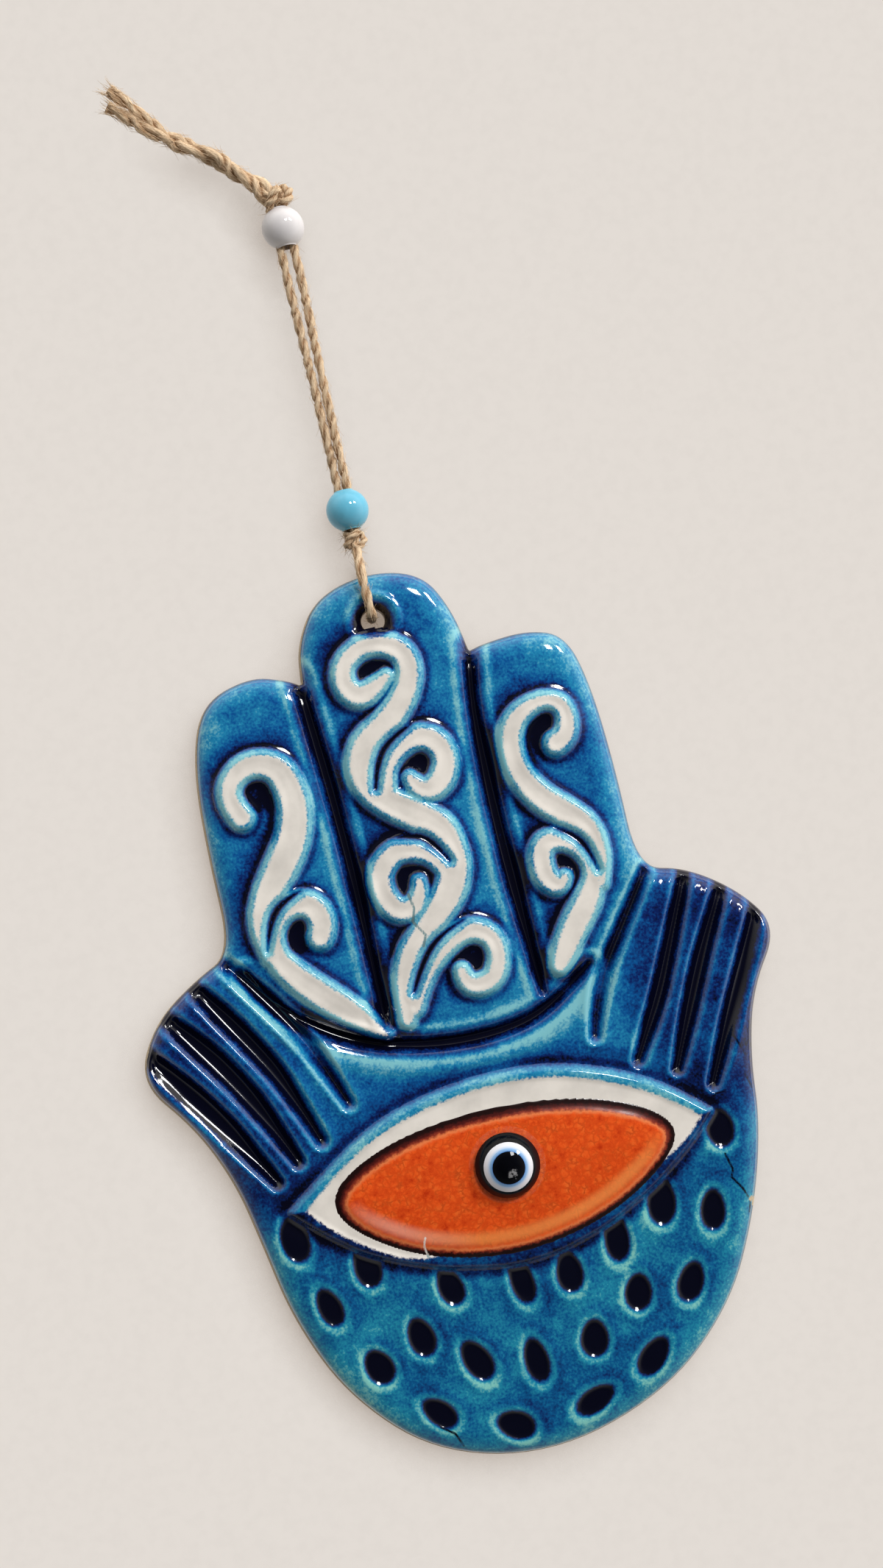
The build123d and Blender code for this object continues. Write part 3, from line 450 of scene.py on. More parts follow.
@lru_cache(maxsize=1)
def relief():
    """The hand's relief on one raster: heights over the ground, and the fields that the finishes follow."""
    s = bpy.context.scene.hamsa_pottery
    raster = Raster(RASTER_LOW, RASTER_HIGH, RASTER_STEP)

    def strokes(lines):
        return stroke_field(raster, [smooth_curve(line) for line in lines], REACH)

    def within(points, reach=REACH):
        return closed_field(raster, smooth_curve(points, closed=True), reach)

    f = {"raster": raster, "edge": -within(OUTLINE), "rim": within(EYE_RIM), "white": within(EYE_WHITE)}
    f["iris"] = within(IRIS, REACH + 8)
    f["hole"] = np.hypot(raster.X - HOLE[0], raster.Z - HOLE[2]) - HOLE_R
    parting = strokes(SCROLL_CUTS)
    for name, lines in SCROLLS.items():
        f[name] = np.maximum(strokes(lines), 0.9 - parting)
    scroll = np.minimum.reduce([f[name] for name in SCROLLS])
    smile, thumb = strokes(SMILE_GROOVE), strokes(THUMB_GROOVES)
    groove = np.minimum(strokes(FINGER_GROOVES), smile)
    dimple = np.maximum(dimple_field(raster, REACH), 1.3 - f["rim"])

    # Clay: hand-made waves, cuts with a lifted lip, moats round what is raised, and the raised parts.
    # The factors are heights in millimetres; bank and swell take millimetres from the edge of a stroke.
    clay = 0.06 * waviness(raster, 3.5, 1) + 0.010 * waviness(raster, 1.0, 2)
    cut = np.maximum.reduce([
        s.groove_depth / MM * bank(groove, -0.9, 0.7),
        s.thumb_depth / MM * bank(thumb, -1.3, 1.5),
        s.dimple_depth / MM * bank(dimple, -0.8, 0.35),
    ])
    lip = 0.3 * swell(groove, 1.7, 0.8) + 0.25 * swell(thumb, 1.5, 0.8) + 0.15 * swell(dimple, 1.0, 0.7)
    lip += 0.45 * swell(smile, 3.2, 1.3) * facing(smile, 0.0, -1.0)
    clay += lip * (1 - np.clip(cut, 0, 1)) - cut - 0.4 * swell(groove, 0.0, 3.0)
    clay += 0.5 * swell(f["hole"], 2.6, 0.8) * (1 - bank(scroll, 0.6, 2.2))
    clay += 0.35 * bank(scroll, 0.9, 3.2) - 0.3 * swell(scroll, 2.2, 1.0) - 0.35 * swell(f["rim"], 1.6, 1.1)
    f["ridge"] = (s.scroll_rise / MM - 0.35) * bank(scroll, 0.1, 1.65) - 0.12 * bank(scroll, -1.4, -0.2)
    f["almond"] = s.eye_rise / MM * bank(f["rim"], -0.5, 1.0) - 0.22 * bank(f["white"], -0.8, 0.2)
    dome = 1 - np.clip(1 + f["iris"] / 13.0, 0, 1) ** 2
    f["lens"] = s.iris_rise / MM * (0.6 * bank(f["iris"], -3.0, 0.2) + 0.6 * dome)

    # Glaze runs off ridges and fills hollows, so its surface is softer than the clay
    whole = clay + cut + f["ridge"] + f["almond"] + f["lens"]
    wide = np.maximum(blurred(whole, 1.6, raster.step) - whole, 0)
    f["ground"] = clay + 0.5 * wide
    # Its depth: over 0.9 where it pools black, 0.4 on the flat, under 0.2 where it runs thin.
    # The factors are shares of that depth: plus where glaze gathers, minus where it runs off; beside the
    # scrolls and dimples some are painted shade and painted light.
    # Beside the scrolls the ground is darker on the upper left, partly pooled glaze and partly painted shade,
    # and a little lighter on the lower right, which is painted light.
    upper = facing(scroll, -0.75, 0.65)
    thumbs = bank(np.hypot((np.abs(raster.X) - 50.0) / 20.0, (raster.Z + 152.5) / 26.0), 0.68, 1.15)
    palm = bank(raster.Z, -165.0, -145.0)
    pocket = bank(-blurred(walled_in(scroll < 0.6, raster.step, 6.0), 0.5, raster.step), -0.85, -0.62)
    depth = 0.42 + 0.01 * palm + 0.31 * thumbs + 0.14 * wide + 0.45 * pocket * (1 - bank(scroll, 0.8, 1.7))
    depth += swell(scroll, 1.95, 0.55) * (0.28 + 0.16 * upper) + 0.22 * swell(scroll, 3.2, 1.5) * upper
    depth -= 0.3 * bank(scroll, 0.6, 1.7) + 0.05 * swell(scroll, 3.6, 1.6) * (1 - upper)
    depth += 0.42 * bank(groove, -0.8, 0.3) + 0.22 * bank(groove, 0.2, 1.6) - 0.33 * swell(groove, 2.1, 0.7)
    depth -= 0.27 * swell(smile, 3.4, 1.7) * facing(smile, 0.0, -1.0)
    depth += 0.5 * bank(thumb, -0.5, 0.6) - (0.26 + 0.04 * (1 - thumbs)) * swell(thumb, 1.2, 0.45)
    # Painted shade beside each dimple on its upper right; its pale lip of thin glaze is painted lighter on
    # the lower left.
    shaded = facing(dimple, 0.7, 0.7)
    depth += 0.2 * bank(dimple, -0.6, 0.1) + 0.12 * swell(dimple, 1.4, 0.9) * shaded
    depth -= swell(dimple, 0.55, 0.45) * (0.16 + 0.18 * (1 - shaded))
    above = facing(f["rim"], 0.0, 1.0)
    depth += 0.26 * swell(f["rim"], 1.7, 0.7) - 0.24 * bank(f["rim"], 0.0, 1.1) * above
    depth += 0.14 * swell(f["rim"], 3.2, 2.0) * above + 0.24 * bank(f["rim"], 0.9, 1.8) * (1 - above)
    depth += 0.5 * bank(f["hole"], 0.8, 1.9) - 0.2 * swell(f["hole"], 2.6, 0.7)
    f["depth"] = depth - 0.13 * bank(f["edge"], 1.2, 5.2) * (1 - thumbs)
    f.update(pit=dimple, teal=bank(raster.Z, -196.0, -150.0), scroll=scroll)
    crack_curves = [np.column_stack([line, np.zeros(len(line))]) for line in CRACKS]
    f["crack"] = stroke_field(raster, crack_curves, 1.5)
    f["chip"] = np.min([np.hypot(raster.X - x, raster.Z - z) - radius for x, z, radius in CHIPS], axis=0)
    return f


def rim_fall(inset):
    """How far the front has fallen at a distance in from the edge: a quarter of an ellipse."""
    s = bpy.context.scene.hamsa_pottery
    width = s.rim_width / MM
    share = np.clip((width - inset) / (width - EDGE_INSET), 0, 1)
    return s.rim_drop / MM * (1 - np.sqrt(1 - share ** 2))


EDGE_INSET = 0.75           # how far inside the outline the front's edge lies
# Side wall as (inset from the outline, y) from there to the back, and turns of the rolled rim.
# Then the mouth of the string hole, its turns, and its wall as (growth of the radius, y).
WALL = [(0.5, -0.1), (0.2, 0.55), (0.03, 1.2), (0.0, 1.75), (0.1, 2.3), (0.35, 2.72), (0.8, BACK)]
RIM_TURNS = np.radians([90, 82, 74, 66, 58, 50, 43])
MOUTH_W = 2.1
MOUTH_D = 2.3
MOUTH_TURNS = np.radians([90, 78, 66, 54, 42, 30, 18])
HOLE_WALL = [(0.0, 0.6), (0.0, 1.8), (0.25, 2.5), (0.9, BACK)]
HOLE_SIDES = 72
OUTLINE_STEP = 0.5          # between the points round the outline
GLAZED = -9.0               # how far the front lies before the line where the glaze stops
# The fields that the finishes follow
FINISH_FIELDS = ("depth", "teal", "scroll", "white", "iris", "crack", "chip", "pit")


def loops_to_quads(first, count, flip=False):
    """Quads between two closed loops of points, given the index of the first point of each."""
    here = np.arange(count)
    after = (here + 1) % count
    a, b = first
    quads = np.stack([a + here, b + here, b + after, a + after], axis=1)
    return quads[:, ::-1] if flip else quads


def triangles_between(points, outer, hole_loop):
    """Triangles over points inside the outer loop and outside the round hole, anticlockwise in (x, z)."""
    edges = [np.stack([loop, np.roll(loop, -1)], axis=1) for loop in (outer, hole_loop)]
    made = delaunay_2d_cdt(points.tolist(), np.vstack(edges).tolist(), [], 1, 1e-7)
    origin = np.array([names[0] for names in made[3]])
    triangles = origin[np.array(made[2])]
    # The hole is convex and empty, so the triangles in it are those with all three corners on its rim
    triangles = triangles[~np.isin(triangles, hole_loop).all(axis=1)]
    a, b, c = (points[triangles[:, k]] for k in range(3))
    turn = (b[:, 0] - a[:, 0]) * (c[:, 1] - a[:, 1]) - (b[:, 1] - a[:, 1]) * (c[:, 0] - a[:, 0])
    triangles[turn < 0] = triangles[turn < 0][:, ::-1]
    return triangles


def add_piece(name, points, faces, material, body, nodes, values=None, uv=None):
    """Make a mesh piece from points in millimetres and arrays of faces, riding on its CAD body."""
    mesh = bpy.data.meshes.new(name)
    corners = np.concatenate([part.ravel() for part in faces])
    lengths = np.concatenate([np.full(len(part), part.shape[1]) for part in faces])
    mesh.vertices.add(len(points))
    mesh.vertices.foreach_set("co", (np.asarray(points, np.float64) * MM).astype(np.float32).ravel())
    mesh.loops.add(len(corners))
    mesh.loops.foreach_set("vertex_index", corners.astype(np.int32))
    mesh.polygons.add(len(lengths))
    mesh.polygons.foreach_set("loop_start", (np.cumsum(lengths) - lengths).astype(np.int32))
    mesh.update(calc_edges=True)
    mesh.shade_smooth()
    for title, value in (values or {}).items():
        held = mesh.attributes.new(title, "FLOAT", "POINT")
        held.data.foreach_set("value", np.asarray(value, np.float32))
    if uv is not None:
        layer = mesh.uv_layers.new(name="UVMap")
        layer.data.foreach_set("uv", np.asarray(uv, np.float32)[corners].ravel())
    mesh.validate()
    mesh.materials.append(material)
    piece = bpy.data.objects.new(name, mesh)
    bpy.context.scene.collection.objects.link(piece)
    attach(piece, body)
    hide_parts(*nodes)
    return piece


def clay_hand():
    """Points, faces and finish values of the hand: relief in front, rolled rim, side wall and flat back."""
    f = relief()
    raster = f["raster"]
    outline = evenly(smooth_curve(OUTLINE, closed=True), OUTLINE_STEP, closed=True)
    tangent = np.roll(outline, -1, axis=0) - np.roll(outline, 1, axis=0)
    tangent /= np.linalg.norm(tangent, axis=1)[:, None]
    inwards = np.column_stack([-tangent[:, 1], tangent[:, 0]])
    count = len(outline)
    width = bpy.context.scene.hamsa_pottery.rim_width / MM
    insets = width - (width - EDGE_INSET) * np.sin(RIM_TURNS)
    rings = [outline + inwards * inset for inset in insets]
    around = np.linspace(0, 2 * math.pi, HOLE_SIDES, endpoint=False)
    circle = np.column_stack([np.cos(around), np.sin(around)])
    centre = HOLE[[0, 2]]
    mouth_r = HOLE_R + MOUTH_W * (1 - np.sin(MOUTH_TURNS))
    mouth = [centre + circle * radius for radius in mouth_r]

    # Inside points: close together where the relief is steep, twice as far apart where it is flat
    slope = np.hypot(*np.gradient(f["ground"], raster.step))
    fine = (blurred(slope, 0.5, raster.step) > 0.16) | (f["crack"] < 0.9) | (f["chip"] < 0.6)
    rows, columns = np.indices(raster.X.shape)
    sparse = (rows % 2 == 0) & (columns % 2 == 0)
    keep = (f["edge"] > insets[-1] + 0.3) & (f["hole"] > mouth_r[-1] - HOLE_R + 0.3) & (fine | sparse)
    inside = np.column_stack([raster.X[keep], raster.Z[keep]])

    front = np.vstack(rings + mouth + [inside])
    mouths_at = len(rings) * count
    triangles = triangles_between(front, np.arange(count), mouths_at + np.arange(HOLE_SIDES))
    edge = raster.sample(f["edge"], front[:, 0], front[:, 1])
    edge[:mouths_at] = np.repeat(insets, count)
    carving = raster.sample(f["ground"], front[:, 0], front[:, 1])
    covered = 0.35 * bank(f["scroll"], 0.0, 1.2) + 0.5 * bank(f["rim"], -0.6, 0.7)
    carving -= raster.sample(covered, front[:, 0], front[:, 1])
    height = carving * (1 - 0.8 * bank(edge, EDGE_INSET, 2.2)) - rim_fall(edge)
    mouth_fall = np.repeat(MOUTH_D * (1 - np.cos(MOUTH_TURNS)), HOLE_SIDES)
    height[mouths_at:mouths_at + len(mouth_fall)] -= mouth_fall
    points = [np.column_stack([front[:, 0], -FRONT - height, front[:, 1]])]
    faces = [triangles]

    # Side wall, then the wall of the hole
    made = len(front)
    before = 0
    for inset, y in WALL:
        ring = outline + inwards * inset
        points.append(np.column_stack([ring[:, 0], np.full(count, y), ring[:, 1]]))
        faces.append(loops_to_quads((before, made), count))
        before, made = made, made + count
    back_loop = before + np.arange(count)
    before = mouths_at
    for grown, y in HOLE_WALL:
        ring = centre + circle * (HOLE_R + grown)
        points.append(np.column_stack([ring[:, 0], np.full(HOLE_SIDES, y), ring[:, 1]]))
        faces.append(loops_to_quads((before, made), HOLE_SIDES, flip=True))
        before, made = made, made + HOLE_SIDES
    hole_loop = before + np.arange(HOLE_SIDES)

    # Flat back, with a sparse grid inside
    points = np.vstack(points)
    sparse = (rows % 8 == 0) & (columns % 8 == 0) & (f["edge"] > 2.5) & (f["hole"] > 3.0)
    flat = np.column_stack([raster.X[sparse], np.full(sparse.sum(), BACK), raster.Z[sparse]])
    names = np.concatenate([back_loop, hole_loop, made + np.arange(len(flat))])
    points = np.vstack([points, flat])
    back = triangles_between(points[names][:, [0, 2]], np.arange(count), count + np.arange(HOLE_SIDES))
    faces.append(names[back][:, ::-1])

    values = finish_values(points[:, 0], points[:, 2])
    # The glaze was poured from the upper right, so it stops later on the walls that face that way
    stop = np.full(len(points), 0.5)
    walls = slice(len(front), len(front) + len(WALL) * count)
    stop[walls] = np.tile(0.7 - 1.1 * (inwards @ np.array([0.7, 0.7])), len(WALL))
    values["wall"] = points[:, 1] - stop
    values["wall"][:len(front)] = GLAZED
    # The string hole's wall, which is painted dark brown as shade
    painted_bore_shade = np.zeros(len(points))
    painted_bore_shade[hole_loop[0] - (len(HOLE_WALL) - 1) * HOLE_SIDES:hole_loop[0]] = 1.0
    values["bore"] = painted_bore_shade
    return points, faces, values


def finish_values(x, z):
    """The fields that the finishes follow, at any points of the hand."""
    f = relief()
    return {name: f["raster"].sample(f[name], x, z) for name in FINISH_FIELDS}


def raised_patch(field, limit, heights, floor):
    """A closed patch of the raster where the field is under the limit, from its heights down to a floor."""
    raster = relief()["raster"]
    keep = field < limit
    cells = keep[:-1, :-1] & keep[1:, :-1] & keep[:-1, 1:] & keep[1:, 1:]
    names = np.arange(keep.size).reshape(keep.shape)
    a, b, c, d = names[:-1, :-1], names[:-1, 1:], names[1:, 1:], names[1:, :-1]
    top = np.stack([a, b, c, d], axis=-1)[cells]
    padded = np.pad(cells, 1)
    open_sides = [
        (a, b, ~padded[:-2, 1:-1]), (b, c, ~padded[1:-1, 2:]),
        (c, d, ~padded[2:, 1:-1]), (d, a, ~padded[1:-1, :-2]),
    ]
    rim = np.vstack([np.stack([start, end], axis=-1)[cells & side] for start, end, side in open_sides])
    used = np.unique(top)
    place = np.full(keep.size, -1)
    place[used] = np.arange(len(used))
    top, rim, n = place[top], place[rim], len(used)
    x, z = raster.X.ravel()[used], raster.Z.ravel()[used]
    upper = np.column_stack([x, -FRONT - heights.ravel()[used], z])
    lower = np.column_stack([x, -FRONT - floor.ravel()[used], z])
    sides = np.stack([rim[:, 1], rim[:, 0], rim[:, 0] + n, rim[:, 1] + n], axis=1)
    return np.vstack([upper, lower]), [top, top[:, ::-1] + n, sides]


def add_node(tree, kind, inputs=None, stops=None, **settings):
    """Add one node, set it up, and give each named input a value or a link from another node's socket."""
    node = tree.nodes.new(kind)
    for name, value in settings.items():
        setattr(node, name, value)
    for at, (place, rgb) in enumerate(stops or []):
        held = node.color_ramp.elements
        stop = held[at] if at < len(held) else held.new(place)
        stop.position = place
        stop.color = (*rgb, 1.0)
    for name, value in (inputs or {}).items():
        if isinstance(value, bpy.types.NodeSocket):
            tree.links.new(value, node.inputs[name])
        else:
            node.inputs[name].default_value = value
    return node


def new_material(name):
    """An empty node material, and its tree to add to."""
    material = bpy.data.materials.new(name)
    material.use_nodes = True
    material.node_tree.nodes.clear()
    return material, material.node_tree


def per_mm(millimetres):
    """The noise scale whose features are about that size, on coordinates in metres."""
    return 1.0 / (millimetres * MM)


def maths(tree, operation, *values):
    """One step of arithmetic on sockets and numbers."""
    return add_node(tree, "ShaderNodeMath", dict(enumerate(values)), operation=operation).outputs[0]


def plus(tree, base, value, share):
    """The base and a share of the value."""
    return maths(tree, "MULTIPLY_ADD", value, share, base)


def fitted(tree, value, low, high, start=0.0, end=1.0, smooth=False):
    """The value carried from low and high to start and end, and held there."""
    return add_node(tree, "ShaderNodeMapRange", {0: value, 1: low, 2: high, 3: start, 4: end},
                    interpolation_type="SMOOTHSTEP" if smooth else "LINEAR").outputs[0]


def blend(tree, share, first, second, **settings):
    """Two colours mixed by a share, each a socket or linear red, green and blue."""
    pair = [c if isinstance(c, bpy.types.NodeSocket) else (*c, 1.0) for c in (first, second)]
    inputs = {0: share, 6: pair[0], 7: pair[1]}
    return add_node(tree, "ShaderNodeMix", inputs, data_type="RGBA", **settings).outputs[2]


def ramp(tree, value, *stops):
    """A colour ramp with its stops as (place, colour)."""
    return add_node(tree, "ShaderNodeValToRGB", {"Fac": value}, stops=stops).outputs["Color"]


def noise(tree, place, millimetres, detail, roughness=0.5, distortion=0.0, output="Fac"):
    """Noise with features of about that size."""
    return add_node(tree, "ShaderNodeTexNoise", {
        "Vector": place, "Scale": per_mm(millimetres), "Detail": detail, "Roughness": roughness,
        "Distortion": distortion}).outputs[output]


def attribute(tree, name):
    """A value held on the mesh's points."""
    return add_node(tree, "ShaderNodeAttribute", attribute_name=name).outputs["Fac"]


def coordinates(tree, kind="Object"):
    """The place that a material is worked out from."""
    return add_node(tree, "ShaderNodeTexCoord").outputs[kind]


def distance_from(tree, place, point):
    """How far a place is from a point given in millimetres."""
    both = {0: place, 1: point * MM}
    return add_node(tree, "ShaderNodeVectorMath", both, operation="DISTANCE").outputs["Value"]


def bumped(tree, height, strength, millimetres, **settings):
    """A surface direction tilted by a height."""
    inputs = {"Strength": strength, "Distance": millimetres * MM, "Height": height}
    return add_node(tree, "ShaderNodeBump", inputs, **settings).outputs["Normal"]


def darkened(rgb, share):
    """A share of a colour."""
    return tuple(share * c for c in rgb)


def surface(tree, inputs):
    """The principled shader with its inputs, and the output."""
    shader = add_node(tree, "ShaderNodeBsdfPrincipled", inputs)
    add_node(tree, "ShaderNodeOutputMaterial", {"Surface": shader.outputs[0]})


# Fired glaze and lampworked glass bend light alike, and are nearly as smooth as still water
GLAZE_IOR = 1.52
GLAZE_ROUGH = 0.08


def blue_glaze(tree, settings):
    """Colour and bump of a blue glaze that runs off ridges and pools in hollows, with fine mottling and some
    painted shade and light.
    """
    place = coordinates(tree)
    fine = noise(tree, place, 0.5, 4.0)
    cloud = noise(tree, place, 2.6, 6.0, 0.6)
    drift = noise(tree, place, 14.0, 2.0)
    depth = attribute(tree, "depth")
    for mottle, share in ((fine, 0.6), (cloud, 0.5), (drift, 0.6)):
        depth = plus(tree, depth, maths(tree, "SUBTRACT", mottle, 0.5), share)
    # A dimple is pooled black inside a ragged edge
    ragged = plus(tree, attribute(tree, "pit"), cloud, 0.6)
    depth = maths(tree, "ADD", depth, fitted(tree, ragged, 0.5, -0.5, 0.0, 0.75))
    blue = ramp(tree, depth, (0.02, settings.thin), (0.26, settings.light), (0.5, settings.mid),
                (0.72, settings.deep), (0.92, settings.pool))
    # The palm's glaze is a little greener
    glaze = blend(tree, attribute(tree, "teal"), blue, (1.02, 1.06, 0.86), blend_type="MULTIPLY")
    crack = plus(tree, attribute(tree, "crack"), fine, 0.3)
    line = fitted(tree, crack, 0.26, 0.46, 1.0, 0.0)
    normal = bumped(tree, noise(tree, place, 1.6, 2.0), 0.10, 0.10)
    return blend(tree, line, glaze, settings.pool), normal, place, line


def glazed_earthenware(settings):
    """Press-moulded earthenware under glossy alkaline glaze: wet-looking, bare and chalky at the back."""
    material, tree = new_material("glazed_earthenware")
    glaze, normal, place, _ = blue_glaze(tree, settings)
    patches = noise(tree, place, 2.4, 4.0)
    past = plus(tree, attribute(tree, "wall"), patches, 1.2)
    # Along its stopping line the glaze is drawn as a dark line
    glaze = blend(tree, fitted(tree, past, -1.4, 0.2, 0.0, 0.85), glaze, linear("#241A26"))
    flaked = plus(tree, attribute(tree, "chip"), patches, 1.6)
    bare = maths(tree, "MAXIMUM", fitted(tree, past, 0.4, 0.6), fitted(tree, flaked, 0.7, 0.9, 1.0, 0.0))
    # Bare clay is gritty, and patchy from the firing
    grit, fired = noise(tree, place, 0.5, 5.0), noise(tree, place, 18.0, 5.0)
    patchy = add_node(tree, "ShaderNodeMix", {0: 0.45, 2: grit, 3: fired}).outputs[0]
    clay = ramp(tree, patchy, (0.3, darkened(settings.clay, 0.62)), (0.7, settings.clay))
    skin = blend(tree, bare, glaze, clay)
    # Painted shade: the wall of the string hole is coloured dark brown.
    skin = blend(tree, attribute(tree, "bore"), skin, linear("#3A2416"))
    surface(tree, {"Base Color": skin, "Normal": normal,
                   "Roughness": fitted(tree, bare, 0.0, 1.0, GLAZE_ROUGH, 0.85), "IOR": GLAZE_IOR})
    return material


def slip_over_glaze(settings, name, field, start):
    """White slip wiped clean on top, satin and chalky, with glaze creeping over its ragged, brushed edges."""
    material, tree = new_material(name)
    glaze, normal, place, line = blue_glaze(tree, settings)
    ragged = 1.3
    wander = plus(tree, attribute(tree, field), noise(tree, place, 0.5, 4.0, 0.6), ragged)
    middle = start + ragged / 2
    white = fitted(tree, wander, middle - 0.2, middle + 0.2, 1.0, 0.0)
    stain = noise(tree, place, 5.0, 5.0)
    slip = ramp(tree, stain, (0.25, darkened(settings.slip, 0.8)), (0.6, settings.slip))
    skin = blend(tree, white, glaze, slip)
    surface(tree, {"Base Color": blend(tree, line, skin, linear("#6D8D92")), "Normal": normal,
                   "Roughness": fitted(tree, white, 0.0, 1.0, GLAZE_ROUGH, 0.5), "IOR": 1.5})
    return material


def orange_glaze(settings):
    """Thick orange glaze with crackle and a painted reflection along its lower edge, burnt maroon and black
    where it thins.
    """
    material, tree = new_material("orange_crackle_glaze")
    place = coordinates(tree)
    parts = add_node(tree, "ShaderNodeSeparateXYZ", {0: place})
    iris = attribute(tree, "iris")
    upper = fitted(tree, parts.outputs["Z"], -184 * MM, -174 * MM, smooth=True)
    # Real crackle is hair-fine: its lines are drawn about 0.3 mm wide so that they show
    warp = noise(tree, place, 1.2, 3.0, output="Color")
    shift = add_node(tree, "ShaderNodeVectorMath", {0: warp, 1: (1.7 * MM,) * 3, 2: place},
                     operation="MULTIPLY_ADD")
    cells = add_node(tree, "ShaderNodeTexVoronoi", {"Vector": shift.outputs[0], "Scale": per_mm(1.35)},
                     feature="DISTANCE_TO_EDGE")
    lines = fitted(tree, cells.outputs["Distance"], 0.02, 0.2, 1.0, 0.0)
    cloud = noise(tree, place, 2.2, 6.0, 0.7)
    crackle = maths(tree, "MULTIPLY", lines, fitted(tree, cloud, 0.4, 0.62, 0.0, 0.6))
    body = ramp(tree, cloud, (0.32, linear("#BE330D")), (0.5, settings.orange), (0.68, linear("#EE6C2A")))
    skin = blend(tree, crackle, body, linear("#A32A0A"))
    # A pale band along the lower edge, pinker to the left, is a painted reflection
    off_band = maths(tree, "ABSOLUTE", maths(tree, "ADD", iris, 3.4))
    lower = fitted(tree, upper, 0.0, 0.8, 0.65, 0.0)
    pale = maths(tree, "MULTIPLY", fitted(tree, off_band, 2.0, 0.2, smooth=True), lower)
    left = fitted(tree, parts.outputs["X"], -6 * MM, -20 * MM)
    skin = blend(tree, pale, skin, blend(tree, left, linear("#F2954E"), linear("#EBA58E")))
    # The border is a wide maroon band along the top and a narrow one along the bottom; the paler orange just
    # inside it is a painted highlight
    rag = noise(tree, place, 1.0, 6.0, 0.7)
    wander = plus(tree, iris, rag, 1.5)
    reach = maths(tree, "ADD", wander, fitted(tree, upper, 0.0, 1.0, -1.4, -0.6))
    along = fitted(tree, reach, -3.0, 0.0)
    border = ramp(tree, along, (0.0, settings.orange), (0.3, linear("#E27A46")), (0.45, linear("#8C3320")),
                  (0.62, linear("#4A1411")), (0.95, settings.border))
    skin = blend(tree, fitted(tree, along, 0.02, 0.3, smooth=True), skin, border)
    skin = blend(tree, fitted(tree, wander, -0.25, 0.15), skin, settings.border)
    scar = plus(tree, attribute(tree, "crack"), rag, 0.5)
    skin = blend(tree, fitted(tree, scar, 0.35, 0.5, 0.9, 0.0), skin, settings.slip)
    inner = maths(tree, "MULTIPLY", crackle, fitted(tree, iris, -3.6, -2.6, 1.0, 0.0))
    surface(tree, {"Base Color": skin, "Roughness": 2 * GLAZE_ROUGH, "IOR": GLAZE_IOR,
                   "Normal": bumped(tree, inner, 0.3, 0.06, invert=True)})
    return material


# Where the pupil has a grey patch, from the middle of the eye
PUPIL_GREY_PATCH = np.array([0.4, -2.2, -1.0])


def opaque_glass(name, rgb, streak, gloss=0.5, inner=None, radii=(0.0, 1.0), grey_patch=False):
    """Lampworked soda glass, opaque and fire-polished: faint swirls, a blend to an inner ring, or a grey
    patch.
    """
    material, tree = new_material(name)
    place = coordinates(tree)
    swirl = noise(tree, place, 4.0, 3.0, distortion=1.2)
    skin = ramp(tree, swirl, (0.3, darkened(rgb, 1 - streak)), (0.7, rgb))
    if inner is not None:
        level = add_node(tree, "ShaderNodeMapping", {"Vector": place, "Scale": (1.0, 0.0, 1.0)}).outputs[0]
        away = distance_from(tree, level, EYE_MIDDLE * (1, 0, 1))
        skin = blend(tree, fitted(tree, away, radii[0] * MM, radii[1] * MM, smooth=True), inner, skin)
    if grey_patch:
        near = fitted(tree, distance_from(tree, place, EYE_MIDDLE + PUPIL_GREY_PATCH), 0.5 * MM, 1.9 * MM, 0.34, -0.1)
        greyed = maths(tree, "ADD", near, noise(tree, place, 0.6, 5.0, 0.7))
        skin = blend(tree, fitted(tree, greyed, 0.68, 0.8, 0.0, 0.5), skin, linear("#B9B8BA"))
    surface(tree, {"Base Color": skin, "Roughness": GLAZE_ROUGH / 2, "IOR": GLAZE_IOR,
                   "Specular IOR Level": gloss})
    return material


def clear_glue(settings):
    """Cured clear glue: a soft glossy bead that lets the orange show through."""
    material, tree = new_material("clear_glue")
    bubbles = noise(tree, coordinates(tree), 0.8, 2.0)
    surface(tree, {"Base Color": (*settings.glue, 1.0), "Roughness": 0.1, "IOR": 1.45,
                   "Alpha": fitted(tree, bubbles, 0.4, 0.75, 0.02, 0.1),
                   "Normal": bumped(tree, bubbles, 0.3, 0.1)})
    return material


def jute(settings):
    """Two-ply jute: dry bast fibres that run along each ply, pale outside, and turned brown between the plies
    by painted shade.
    """
    material, tree = new_material("two_ply_jute")
    # Along a ply in millimetres, and round it: the fibres are drawn coarser than real ones, so that they show
    run = coordinates(tree, "UV")
    stretch = add_node(tree, "ShaderNodeMapping", {"Vector": run, "Scale": (0.45, 24.0, 1.0)})
    fibres = add_node(tree, "ShaderNodeTexNoise", {"Vector": stretch.outputs[0], "Scale": 1.0, "Detail": 5.0,
                                                   "Roughness": 0.75}).outputs["Fac"]
    middle = tuple((a + b) / 2 for a, b in zip(settings.pale, settings.dark))
    # Painted shade: the fibres darken towards the hollow between the plies
    lit = plus(tree, fibres, attribute(tree, "hollow"), -0.3)
    tint = ramp(tree, lit, (0.0, darkened(settings.dark, 0.5)), (0.24, settings.dark), (0.43, middle),
                (0.58, settings.pale))
    surface(tree, {"Base Color": tint, "Roughness": 0.8, "Normal": bumped(tree, fibres, 0.9, 0.12)})
    return material


